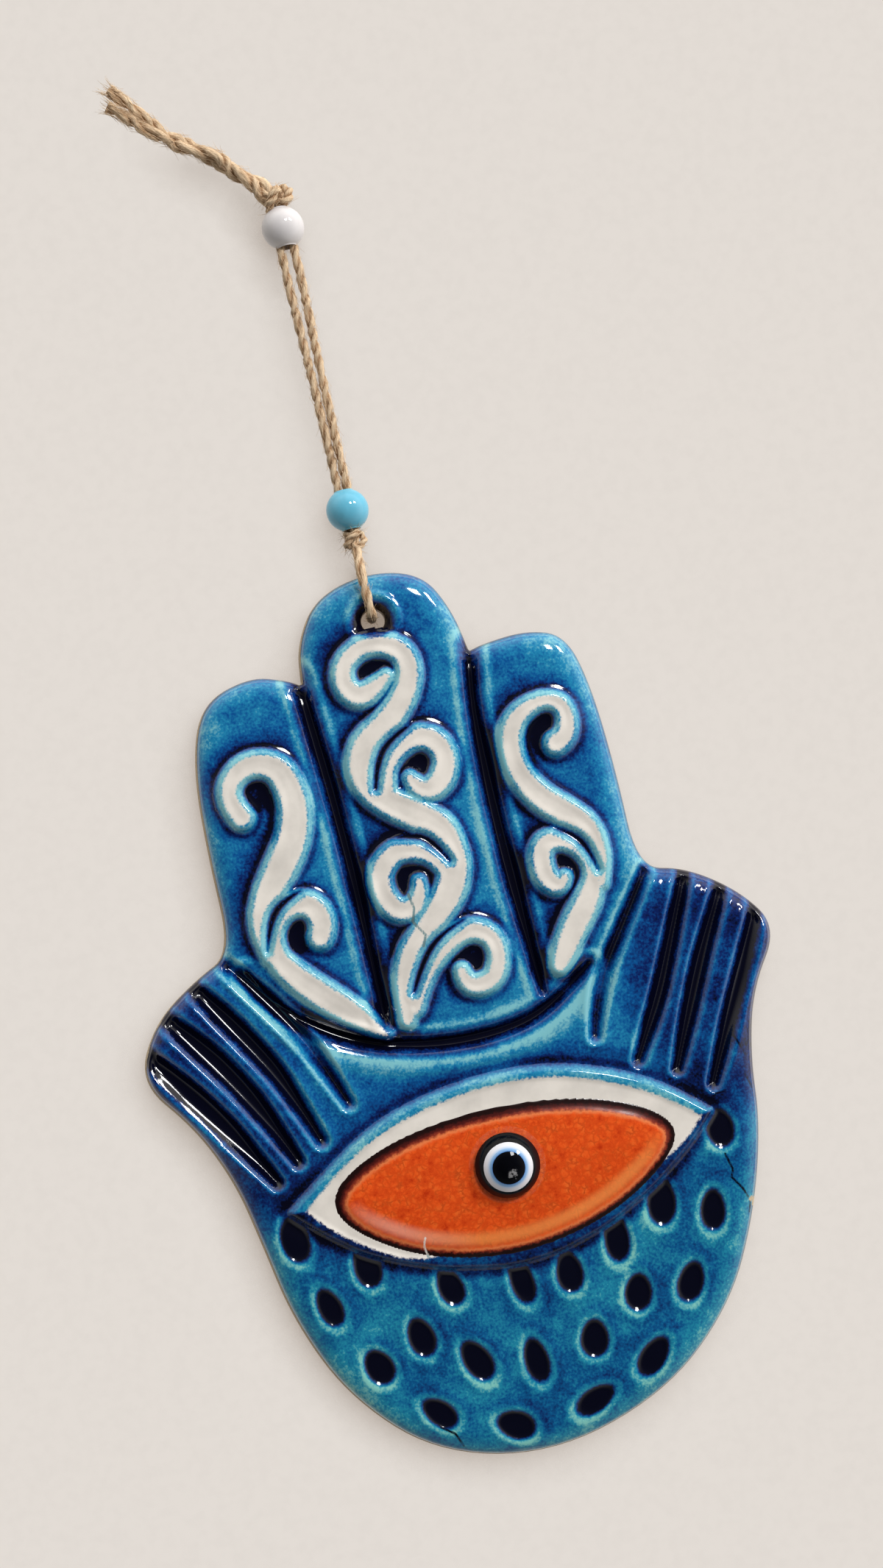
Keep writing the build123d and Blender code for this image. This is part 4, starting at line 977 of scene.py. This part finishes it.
def route_line(points):
    """Points in millimetres along a NURBS curve through the string's control points."""
    curve = bpy.data.curves.new("route", "CURVE")
    curve.dimensions = "3D"
    curve.resolution_u = 24
    spline = curve.splines.new("NURBS")
    spline.points.add(len(points) - 1)
    spline.points.foreach_set("co", np.column_stack([np.array(points) * MM, np.ones(len(points))]).ravel())
    spline.order_u = 3
    spline.use_endpoint_u = True
    holder = bpy.data.objects.new("route", curve)
    mesh = bpy.data.meshes.new_from_object(holder)
    line = np.zeros(len(mesh.vertices) * 3)
    mesh.vertices.foreach_get("co", line)
    bpy.data.objects.remove(holder)
    bpy.data.meshes.remove(mesh)
    bpy.data.curves.remove(curve)
    return line.reshape(-1, 3) / MM


def unit(vectors):
    """Vectors of length one."""
    return vectors / np.linalg.norm(vectors, axis=-1, keepdims=True)


def cross_axes(line, reference, closed=False):
    """Tangent, and two directions across a line, the first as near as can be to a reference direction."""
    if closed:
        tangent = unit(np.roll(line, -1, axis=0) - np.roll(line, 1, axis=0))
    else:
        tangent = unit(np.gradient(line, axis=0))
    side = unit(reference - np.sum(reference * tangent, axis=1, keepdims=True) * tangent)
    return tangent, side, np.cross(tangent, side)


PLY_SIDES = 22
PLY_SHARE = 0.63            # radius of a ply, as a share of the string's radius
FIBRE_LOBES = 9
FRAY_LENGTH = 3.0           # how far from a cut end its plies begin to part


def uneven(along, wave, seed):
    """Smooth random swings of about -1 to 1 along a length: sines of four wavelengths at random phases."""
    phase = np.random.default_rng(seed).uniform(0, 2 * math.pi, 4)
    swings = [np.sin(2 * math.pi * along / (wave * k) + start)
              for start, k in zip(phase, (0.6, 1.0, 1.7, 2.9))]
    return np.sum(swings, axis=0) / 2.2


def plies(line, reference, diameter, lay, start_turn=0.0, closed=False, frayed=False, seed=0):
    """Two plies that wind unevenly about a line, ribbed by fibres: points, quads, painted shade towards the
    other ply, and (u, v).
    """
    tangent, side, other = cross_axes(line, reference, closed)
    steps = np.linalg.norm(np.diff(line, axis=0), axis=1)
    along = np.concatenate([[0], np.cumsum(steps)])
    turns = 2 * math.pi * along / lay + 0.7 * uneven(along, 9.0, seed)
    if closed:
        total = along[-1] + np.linalg.norm(line[0] - line[-1])
        turns = 2 * math.pi * along / total * max(1, round(total / lay))
    fray, taper = np.zeros(len(line)), np.ones(len(line))
    if frayed:
        fray = np.clip((along - along[-1] + FRAY_LENGTH) / FRAY_LENGTH, 0, 1) ** 2
        taper = 1.1 - 0.27 * along / along[-1]
    ply_r = (diameter / 2 * PLY_SHARE * taper * (1 - 0.25 * fray))[:, None]
    wind_r = (diameter / 2 * (1 - PLY_SHARE) * taper * (1 + 0.35 * fray))[:, None]
    spin = np.linspace(0, 2 * math.pi, PLY_SIDES, endpoint=False)
    points, faces, hollow, uv = [], [], [], []
    n = len(line)
    for ply in range(2):
        wind = start_turn + turns + math.pi * ply
        outwards = np.cos(wind)[:, None] * side + np.sin(wind)[:, None] * other
        middle = line + wind_r * outwards
        beside = np.cross(tangent, outwards)
        ribs = 1 + 0.1 * np.cos(FIBRE_LOBES * spin[None, :] + 1.6 * turns[:, None])
        ribs = ribs + 0.05 * np.cos(3 * spin[None, :] - 0.9 * turns[:, None] + ply)
        ring = np.cos(spin)[None, :, None] * outwards[:, None] + np.sin(spin)[None, :, None] * beside[:, None]
        points.append((middle[:, None] + (ply_r * ribs)[..., None] * ring).reshape(-1, 3))
        # Painted shade on the side of each ply that faces the other
        hollow.append(np.repeat((0.5 - 0.5 * np.cos(spin))[None, :] ** 1.5, n, axis=0).ravel())
        # (u, v) run along the ply and round it, and start elsewhere on each ply and stretch
        u, v = along[:, None] + 40 * ply + 9 * seed, spin[None, :] / (2 * math.pi) + turns[:, None] / 5.0
        uv.append(np.stack(np.broadcast_arrays(u, v), axis=-1).reshape(-1, 2))
        grid = np.arange(n * PLY_SIDES).reshape(n, PLY_SIDES) + ply * n * PLY_SIDES
        nxt = np.roll(grid, -1, axis=0) if closed else grid[1:]
        low = grid if closed else grid[:-1]
        quads = np.stack([low, np.roll(low, -1, axis=1), np.roll(nxt, -1, axis=1), nxt], axis=-1)
        faces.append(quads.reshape(-1, 4))
        if not closed:
            faces.append(grid[0][::-1][None, :])
            faces.append(grid[-1][None, :])
    return np.vstack(points), faces, np.concatenate(hollow), np.vstack(uv)


FIBRE_STEPS = 6
FIBRE_R = 0.05              # about twice the real radius, so that the hairs show
FIBRE_CORNERS = (0.0, 2.094, 4.189)     # turns of a hair's three corners, in radians


def loose_fibres(line, reference, diameter, length, count, seed, frayed=False):
    """Thin three-sided hairs that leave the string at a shallow slant and curl away from it."""
    rng = np.random.default_rng(seed)
    tangent, side, other = cross_axes(line, reference)
    at = rng.integers(8, len(line) - 8, count)
    if frayed:
        # A cut end is a brush of fibres
        at[:count // 5] = rng.integers(len(line) - 8, len(line), count // 5)
    turn = rng.uniform(0, 2 * math.pi, count)
    way = rng.choice([-1.0, 1.0], count)[:, None, None]
    reach = length * rng.uniform(0.45, 1.2, count)[:, None, None]
    lift = rng.uniform(0.03, 0.42, count)[:, None, None]
    bend = rng.uniform(-0.4, 0.4, count)[:, None, None]
    outwards = np.cos(turn)[:, None] * side[at] + np.sin(turn)[:, None] * other[at]
    beside = np.cross(tangent[at], outwards)
    t = np.linspace(0, 1, FIBRE_STEPS)[None, :, None]
    root = line[at][:, None] + 0.42 * diameter * outwards[:, None]
    path = root + reach * (way * t * tangent[at][:, None] + lift * t ** 1.6 * outwards[:, None]
                           + bend * t ** 2 * beside[:, None])
    taper = FIBRE_R * (1 - 0.7 * t)
    corners = [path + taper * (math.cos(a) * outwards[:, None] + math.sin(a) * beside[:, None])
               for a in FIBRE_CORNERS]
    points = np.stack(corners, axis=2).reshape(-1, 3)
    grid = np.arange(len(points)).reshape(count, FIBRE_STEPS, len(FIBRE_CORNERS))
    low, high = grid[:, :-1], grid[:, 1:]
    walls = np.stack([low, np.roll(low, -1, axis=2), np.roll(high, -1, axis=2), high], axis=-1).reshape(-1, 4)
    caps = np.vstack([grid[:, 0, ::-1], grid[:, -1]])
    each = FIBRE_STEPS * len(FIBRE_CORNERS)
    uv = np.column_stack([np.repeat(rng.uniform(0, 60, count), each), np.full(len(points), 0.3)])
    return points, [walls, caps], np.zeros(len(points)), uv


def joined(parts):
    """Several sets of points, faces, painted ply shade and (u, v) as one."""
    starts = np.cumsum([0] + [len(part[0]) for part in parts])
    faces = [group + start for part, start in zip(parts, starts) for group in part[1]]
    points, hollow, uv = (np.concatenate([part[at] for part in parts]) for at in (0, 2, 3))
    return points, faces, hollow, uv


RING_STEP = 0.28            # between the rings of a stretch of string
AXES = {"x": np.array([1.0, 0.0, 0.0]), "y": np.array([0.0, 1.0, 0.0])}
# Each stretch of string: piece, CAD node, body, route, reference axis, loose fibres, thickness share,
# twist share, lay, far end
STRETCHES = [
    ("jute_strand_left", "cord_strand_left", "cord", STRAND_LEFT, "x", 520, 1.0, 1.25, "taut", "knot"),
    ("jute_strand_right", "cord_strand_right", "cord", STRAND_RIGHT, "x", 520, 1.0, 1.25, "taut", "knot"),
    ("jute_hole_loop", "cord_hole_loop", "hole_loop", HOLE_LOOP, "x", 230, 1.08, 1.9, "taut", "knot"),
    ("jute_tail_left", "cord_tail_left", "cord", TAIL_LEFT, "y", 480, 1.48, 1.7, "loose", "bare"),
    ("jute_tail_right", "cord_tail_right", "cord", TAIL_RIGHT, "y", 480, 1.48, 1.7, "loose", "bare"),
]


class HAMSA_OT_jute_string(bpy.types.Operator):
    """Wind the jute string's five stretches along their routes"""

    bl_idname = "hamsa.jute_string"
    bl_label = "Jute String"

    def execute(self, context):
        s = context.scene.hamsa_string
        diameter, lay, fibre = s.diameter / MM, s.lay / MM, s.fibre / MM
        material = jute(s)
        for order, (name, node, body, route, axis, hairs, thick, twist, held, end) in enumerate(STRETCHES):
            line = evenly(route_line(route), RING_STEP)
            cut = end == "bare"
            width = thick * diameter
            wound = plies(line, AXES[axis], width, twist * lay, 1.3 * order, frayed=cut, seed=30 + order)
            fuzz = loose_fibres(line, AXES[axis], width, fibre, hairs, seed=20 + order, frayed=cut)
            points, faces, hollow, uv = joined([wound, fuzz])
            piece = add_piece(name, points, faces, material, body, [node], {"hollow": hollow}, uv)
        return {"FINISHED"}


# Each knot: piece, CAD node, body, slant in degrees, radius of core and wraps, height share, string
KNOTS = [
    ("jute_knot_upper", "upper_knot", "cord", (16.0, -18.0), 1.75, 0.95, 1.35, 1.85),
    ("jute_knot_lower", "lower_knot", "lower_knot", (4.0, 12.0), 1.05, 0.8, 1.6, 1.35),
]
KNOT_STEPS = 160
KNOT_LAY = 3.4
KNOT_FIBRES = 240


class HAMSA_OT_jute_knots(bpy.types.Operator):
    """Tie the two knots, each a strand along a three-lobed knot curve"""

    bl_idname = "hamsa.jute_knots"
    bl_label = "Jute Knots"

    def execute(self, context):
        s = context.scene.hamsa_string
        material = bpy.data.materials.get("two_ply_jute") or jute(s)
        for order, (name, node, body, slant, core, wrap, tall, thick) in enumerate(KNOTS):
            low, high = box_mm(node)
            t = np.linspace(0, 2 * math.pi, KNOT_STEPS, endpoint=False)
            round_axis = np.column_stack([np.cos(2 * t), np.sin(2 * t), np.zeros(len(t))])
            wrap_way = np.cos(3 * t)[:, None] * round_axis + np.sin(3 * t)[:, None] * np.array([0, 0, 1.0])
            line = core * round_axis + wrap * wrap_way * np.array([1, 1, tall])
            tip, lean = (Matrix.Rotation(math.radians(a), 3, axis) for a, axis in zip(slant, "XY"))
            turn = np.array(tip @ lean).T
            line, reference = line @ turn, wrap_way @ turn
            wound = plies(line, reference, thick, KNOT_LAY, closed=True)
            fuzz = loose_fibres(line, reference, thick, s.fibre / MM, KNOT_FIBRES, seed=40 + order)
            points, faces, hollow, uv = joined([wound, fuzz])
            points = points + (low + high) / 2
            add_piece(name, points, faces, material, body, [node], {"hollow": hollow}, uv)
        return {"FINISHED"}


class HAMSA_OT_clay_hand(bpy.types.Operator):
    """Model the glazed clay hand with its rolled rim, grooves, dimples and string hole"""

    bl_idname = "hamsa.clay_hand"
    bl_label = "Clay Hand"

    def execute(self, context):
        points, faces, values = clay_hand()
        material = glazed_earthenware(context.scene.hamsa_pottery)
        add_piece("clay_hand", points, faces, material, "hand", ["hand_plaque"], values)
        return {"FINISHED"}


SLIP_ROOT = 0.9             # how far the raised slip goes down into the ground


class HAMSA_OT_white_scrolls(bpy.types.Operator):
    """Raise the three white scrolls on the fingers"""

    bl_idname = "hamsa.white_scrolls"
    bl_label = "White Scrolls"

    def execute(self, context):
        f = relief()
        material = slip_over_glaze(context.scene.hamsa_pottery, "white_slip_scrolls", "scroll", -0.05)
        for side in ("left", "middle", "right"):
            # The slip's border sinks into the glaze
            heights = f["ground"] + f["ridge"] - 0.3 * (1 - bank(f[side], 1.6, 2.0))
            points, faces = raised_patch(f[side], 2.1, heights, f["ground"] - SLIP_ROOT)
            values = finish_values(points[:, 0], points[:, 2])
            add_piece("white_scroll_slip_" + side, points, faces, material, "hand",
                      ["white_scroll_" + side], values)
        return {"FINISHED"}


class HAMSA_OT_painted_eye(bpy.types.Operator):
    """Raise the painted eye: its white almond and the orange iris on it"""

    bl_idname = "hamsa.painted_eye"
    bl_label = "Painted Eye"

    def execute(self, context):
        f = relief()
        s = context.scene.hamsa_pottery
        field = f["ground"] + f["almond"]
        # The almond's border sinks into the glaze, and so does what the iris covers
        sunk = 0.3 * (1 - bank(f["rim"], 0.95, 1.35)) + 0.3 * bank(f["iris"], -2.0, -0.6)
        points, faces = raised_patch(f["rim"], 1.5, field - sunk, f["ground"] - SLIP_ROOT)
        material = slip_over_glaze(s, "white_slip_eye", "white", -0.1)
        add_piece("eye_almond_slip", points, faces, material, "hand", ["eye_white_almond"],
                  finish_values(points[:, 0], points[:, 2]))
        sunk = 0.25 * (1 - bank(f["iris"], 0.1, 0.45))
        points, faces = raised_patch(f["iris"], 0.6, field + f["lens"] - sunk, field - 0.6)
        add_piece("eye_iris_glaze", points, faces, orange_glaze(s), "hand",
                  ["eye_orange_iris"], finish_values(points[:, 0], points[:, 2]))
        return {"FINISHED"}


BEAD_SIDES = 96
BEAD_LIP = math.radians(66)     # how far up the ball its bore's mouth begins


def turned(profile, centre):
    """A closed profile of (radius, height) points carried round an upright axis: points and quads."""
    spin = np.linspace(0, 2 * math.pi, BEAD_SIDES, endpoint=False)[:, None]
    radius, height = profile[None, :, 0], profile[None, :, 1]
    rounds = (radius * np.cos(spin), radius * np.sin(spin), height + 0 * spin)
    points = np.stack(rounds, axis=-1).reshape(-1, 3) + centre
    grid = np.arange(len(points)).reshape(BEAD_SIDES, len(profile))
    after = np.roll(grid, -1, axis=0)
    quads = np.stack([grid, after, np.roll(after, -1, axis=1), np.roll(grid, -1, axis=1)], axis=-1)
    return points, quads.reshape(-1, 4)


def bead_profile(radius, bore):
    """A ball with a bore: over the ball, round the rolled mouth at its top, down the bore to the other."""
    over = np.linspace(-BEAD_LIP, BEAD_LIP, 56)
    ball = np.column_stack([radius * np.cos(over), radius * np.sin(over)])
    mouth_r, mouth_z = ball[-1]
    roll = np.linspace(0, math.pi / 2, 6)[1:]
    inwards = bore + (mouth_r - bore) * np.cos(roll) ** 1.4
    top = np.column_stack([inwards, mouth_z + 0.22 * np.sin(2 * roll) - 0.3 * (roll / 1.5708)])
    return np.vstack([ball, top, top[::-1] * (1, -1)])


class HAMSA_OT_glass_beads(bpy.types.Operator):
    """Turn the two glass beads on the string"""

    bl_idname = "hamsa.glass_beads"
    bl_label = "Glass Beads"

    def execute(self, context):
        s = context.scene.hamsa_glass
        for node, slot, material in (
            ("white_bead", "white_glass", opaque_glass("white_bead_glass", s.white, 0.06)),
            ("turquoise_bead", "turquoise_glass", opaque_glass("turquoise_bead_glass", s.turquoise, 0.12)),
        ):
            low, high = box_mm(node)
            radius = (high - low)[0] / 2
            points, quads = turned(bead_profile(radius, s.bore / MM), (low + high) / 2)
            add_piece(node + "_glass", points, [quads], material, node, [node])
        return {"FINISHED"}


class HAMSA_OT_glass_eye(bpy.types.Operator):
    """Set the glass eye: dark cabochon, white and pale blue rings, pupil, and the glue round it"""

    bl_idname = "hamsa.glass_eye"
    bl_label = "Glass Eye"

    def execute(self, context):
        s = context.scene.hamsa_glass
        dark = opaque_glass("dark_eye_glass", s.dark, 0.4, gloss=0.15, grey_patch=True)
        white = opaque_glass("white_ring_glass", s.ring, 0.05, inner=s.pale_blue, radii=(3.2, 4.1))
        blue = opaque_glass("pale_blue_ring_glass", s.pale_blue, 0.15, inner=linear("#3F78BE"),
                            radii=(2.9, 3.4))
        for node, material in (
            ("glass_eye_base", dark),
            ("glass_eye_white_ring", white),
            ("glass_eye_blue_ring", blue),
            ("glass_eye_pupil", dark),
            ("eye_glue_bed", clear_glue(s)),
        ):
            held = frame["nodes"][node].data
            held.materials.clear()
            held.materials.append(material)
        return {"FINISHED"}


LAMP_DISTANCE = 1.8         # from the ornament, in metres
# The middle of the picture, in millimetres, and how far the camera stands to the left of straight ahead
# and below it, the second as a share of its distance
VIEW_MIDDLE = (5.6, -3.0, -105.9)
VIEW_TURN = math.radians(2.5)
VIEW_DIP = 0.014


class HAMSA_OT_stage(bpy.types.Operator):
    """Set up the plain pale backdrop, the soft lamps, the world and the camera"""

    bl_idname = "hamsa.stage"
    bl_label = "Backdrop, Light and Camera"

    def execute(self, context):
        s = context.scene.hamsa_stage
        scene = context.scene
        scene.view_settings.view_transform = "Standard"
        self.backdrop(scene, s)
        self.contact_shadow(scene, s)
        self.lamps(scene, s)
        self.world(scene)
        self.camera(scene, s)
        return {"FINISHED"}

    def sheet(self, scene, material, y, x_reach, z_low, z_high):
        """An upright sheet of the stage, named for its material and facing the viewer."""
        corners = [(-x_reach, y, z_low), (x_reach, y, z_low), (x_reach, y, z_high), (-x_reach, y, z_high)]
        mesh = bpy.data.meshes.new(material.name)
        mesh.from_pydata(corners, [], [(0, 1, 2, 3)])
        mesh.materials.append(material)
        upright = bpy.data.objects.new(material.name, mesh)
        scene.collection.objects.link(upright)

    def seen_from_front(self, tree):
        """1 for a ray that shows the stage from the front, 0 for light and for a look from behind."""
        ray = add_node(tree, "ShaderNodeLightPath").outputs
        shown = maths(tree, "MAXIMUM", ray["Is Camera Ray"], ray["Is Glossy Ray"])
        shown = maths(tree, "MAXIMUM", shown, ray["Is Transmission Ray"])
        behind = add_node(tree, "ShaderNodeNewGeometry").outputs["Backfacing"]
        return maths(tree, "MAXIMUM", maths(tree, "SUBTRACT", shown, behind), 0.0)

    def backdrop(self, scene, s):
        """A pale painted sheet far enough back that no pose reaches it, open to light from behind."""
        material, tree = new_material("matt_backdrop_paint")
        stipple = noise(tree, coordinates(tree), 3.0, 4.0)
        tint = ramp(tree, stipple, (0.3, darkened(s.backdrop, 0.975)), (0.6, s.backdrop))
        paint = add_node(tree, "ShaderNodeEmission", {"Color": tint})
        clear = add_node(tree, "ShaderNodeBsdfTransparent")
        mixed = add_node(tree, "ShaderNodeMixShader",
                         {0: self.seen_from_front(tree), 1: clear.outputs[0], 2: paint.outputs[0]})
        add_node(tree, "ShaderNodeOutputMaterial", {"Surface": mixed.outputs[0]})
        self.sheet(scene, material, s.behind, x_reach=3.0, z_low=-3.0, z_high=3.0)

    def contact_shadow(self, scene, s):
        """A clear sheet just behind the ornament, tinted where a piece stands between it and the lamps."""
        material, tree = new_material("contact_shadow")
        towards_lamps = add_node(tree, "ShaderNodeCombineXYZ", {"X": 0.5, "Y": -0.68, "Z": 0.53})
        open_share = add_node(tree, "ShaderNodeAmbientOcclusion",
                              {"Distance": s.shadow_reach, "Normal": towards_lamps.outputs[0]}, samples=6)
        shaded = fitted(tree, open_share.outputs["AO"], 0.2, 0.85, 1.0, 0.0)
        amount = maths(tree, "MULTIPLY", shaded, self.seen_from_front(tree))
        tint = blend(tree, amount, (1.0, 1.0, 1.0), s.shade)
        clear = add_node(tree, "ShaderNodeBsdfTransparent", {"Color": tint})
        add_node(tree, "ShaderNodeOutputMaterial", {"Surface": clear.outputs[0]})
        self.sheet(scene, material, BACK * MM + s.gap, x_reach=0.09, z_low=-0.26, z_high=0.06)

    def lamps(self, scene, s):
        """Two square lamps up to the right, in front of the ornament."""
        target = Vector((0.0, 0.0, -0.12))
        for name, way, power in (
            ("key_lamp", (0.37, -0.79, 0.50), 14.0),
            ("second_lamp", (0.674, -0.573, 0.467), 12.0),
        ):
            lamp = bpy.data.lights.new(name, "AREA")
            lamp.size = s.lamp_size
            lamp.energy = power
            holder = bpy.data.objects.new(name, lamp)
            holder.location = target + LAMP_DISTANCE * Vector(way).normalized()
            holder.rotation_euler = (-Vector(way)).to_track_quat("-Z", "Y").to_euler()
            scene.collection.objects.link(holder)

    def world(self, scene):
        """A room that is dim towards the viewer and pale to the sides and above."""
        world = bpy.data.worlds.new("soft_room")
        world.use_nodes = True
        tree = world.node_tree
        tree.nodes.clear()
        way = coordinates(tree, "Generated")
        ahead = add_node(tree, "ShaderNodeSeparateXYZ", {0: way}).outputs["Y"]
        window = add_node(tree, "ShaderNodeVectorMath", {0: way, 1: (0.6, 0.0, 0.8)}, operation="DOT_PRODUCT")
        side = fitted(tree, ahead, -0.93, -0.2, 0.05, 1.05, smooth=True)
        high = fitted(tree, window.outputs["Value"], -0.7, 0.9, 0.4, 1.5, smooth=True)
        light = add_node(tree, "ShaderNodeBackground", {"Color": (*linear("#FFFBF4"), 1.0),
                                                        "Strength": maths(tree, "MULTIPLY", side, high)})
        add_node(tree, "ShaderNodeOutputWorld", {"Surface": light.outputs[0]})
        scene.world = world

    def camera(self, scene, s):
        """A camera a little to the left of the ornament and below it, rolled as far as the picture is."""
        target = Vector(VIEW_MIDDLE) * MM
        away = Vector((-math.sin(VIEW_TURN), -math.cos(VIEW_TURN), -VIEW_DIP)).normalized()
        lens = bpy.data.cameras.new("camera")
        lens.sensor_width = 36.0
        lens.lens = lens.sensor_width * s.distance / s.height
        lens.clip_start, lens.clip_end = 0.01, 50.0
        camera = bpy.data.objects.new("camera", lens)
        turn = (-away).to_track_quat("-Z", "Y").to_matrix().to_4x4() @ Matrix.Rotation(-s.roll, 4, "Z")
        camera.matrix_world = Matrix.Translation(target + away * s.distance) @ turn
        scene.collection.objects.link(camera)
        scene.camera = camera


class HAMSA_PT_panel(bpy.types.Panel):
    """The ornament's operators and settings"""

    bl_idname = "HAMSA_PT_panel"
    bl_label = "Hamsa Hand"
    bl_space_type = "VIEW_3D"
    bl_region_type = "UI"
    bl_category = "Hamsa"

    def draw(self, context):
        column = self.layout.column()
        for operator in OPERATORS:
            column.operator(operator.bl_idname)


SETTINGS = {
    "hamsa_pottery": HamsaPotterySettings,
    "hamsa_string": HamsaStringSettings,
    "hamsa_glass": HamsaGlassSettings,
    "hamsa_stage": HamsaStageSettings,
}
OPERATORS = [
    HAMSA_OT_stage, HAMSA_OT_jute_string, HAMSA_OT_jute_knots, HAMSA_OT_clay_hand, HAMSA_OT_white_scrolls,
    HAMSA_OT_painted_eye, HAMSA_OT_glass_eye, HAMSA_OT_glass_beads,
]


def register():
    for group in SETTINGS.values():
        bpy.utils.register_class(group)
    for name, group in SETTINGS.items():
        setattr(bpy.types.Scene, name, bpy.props.PointerProperty(type=group))
    for operator in OPERATORS:
        bpy.utils.register_class(operator)
    bpy.utils.register_class(HAMSA_PT_panel)


def unregister():
    bpy.utils.unregister_class(HAMSA_PT_panel)
    for operator in reversed(OPERATORS):
        bpy.utils.unregister_class(operator)
    for name, group in SETTINGS.items():
        delattr(bpy.types.Scene, name)
        bpy.utils.unregister_class(group)


def main():
    register()
    bpy.ops.hamsa.stage()
    bpy.ops.hamsa.jute_string()
    bpy.ops.hamsa.jute_knots()
    bpy.ops.hamsa.clay_hand()
    bpy.ops.hamsa.white_scrolls()
    bpy.ops.hamsa.painted_eye()
    bpy.ops.hamsa.glass_eye()
    bpy.ops.hamsa.glass_beads()


if __name__ == "__main__":
    main()
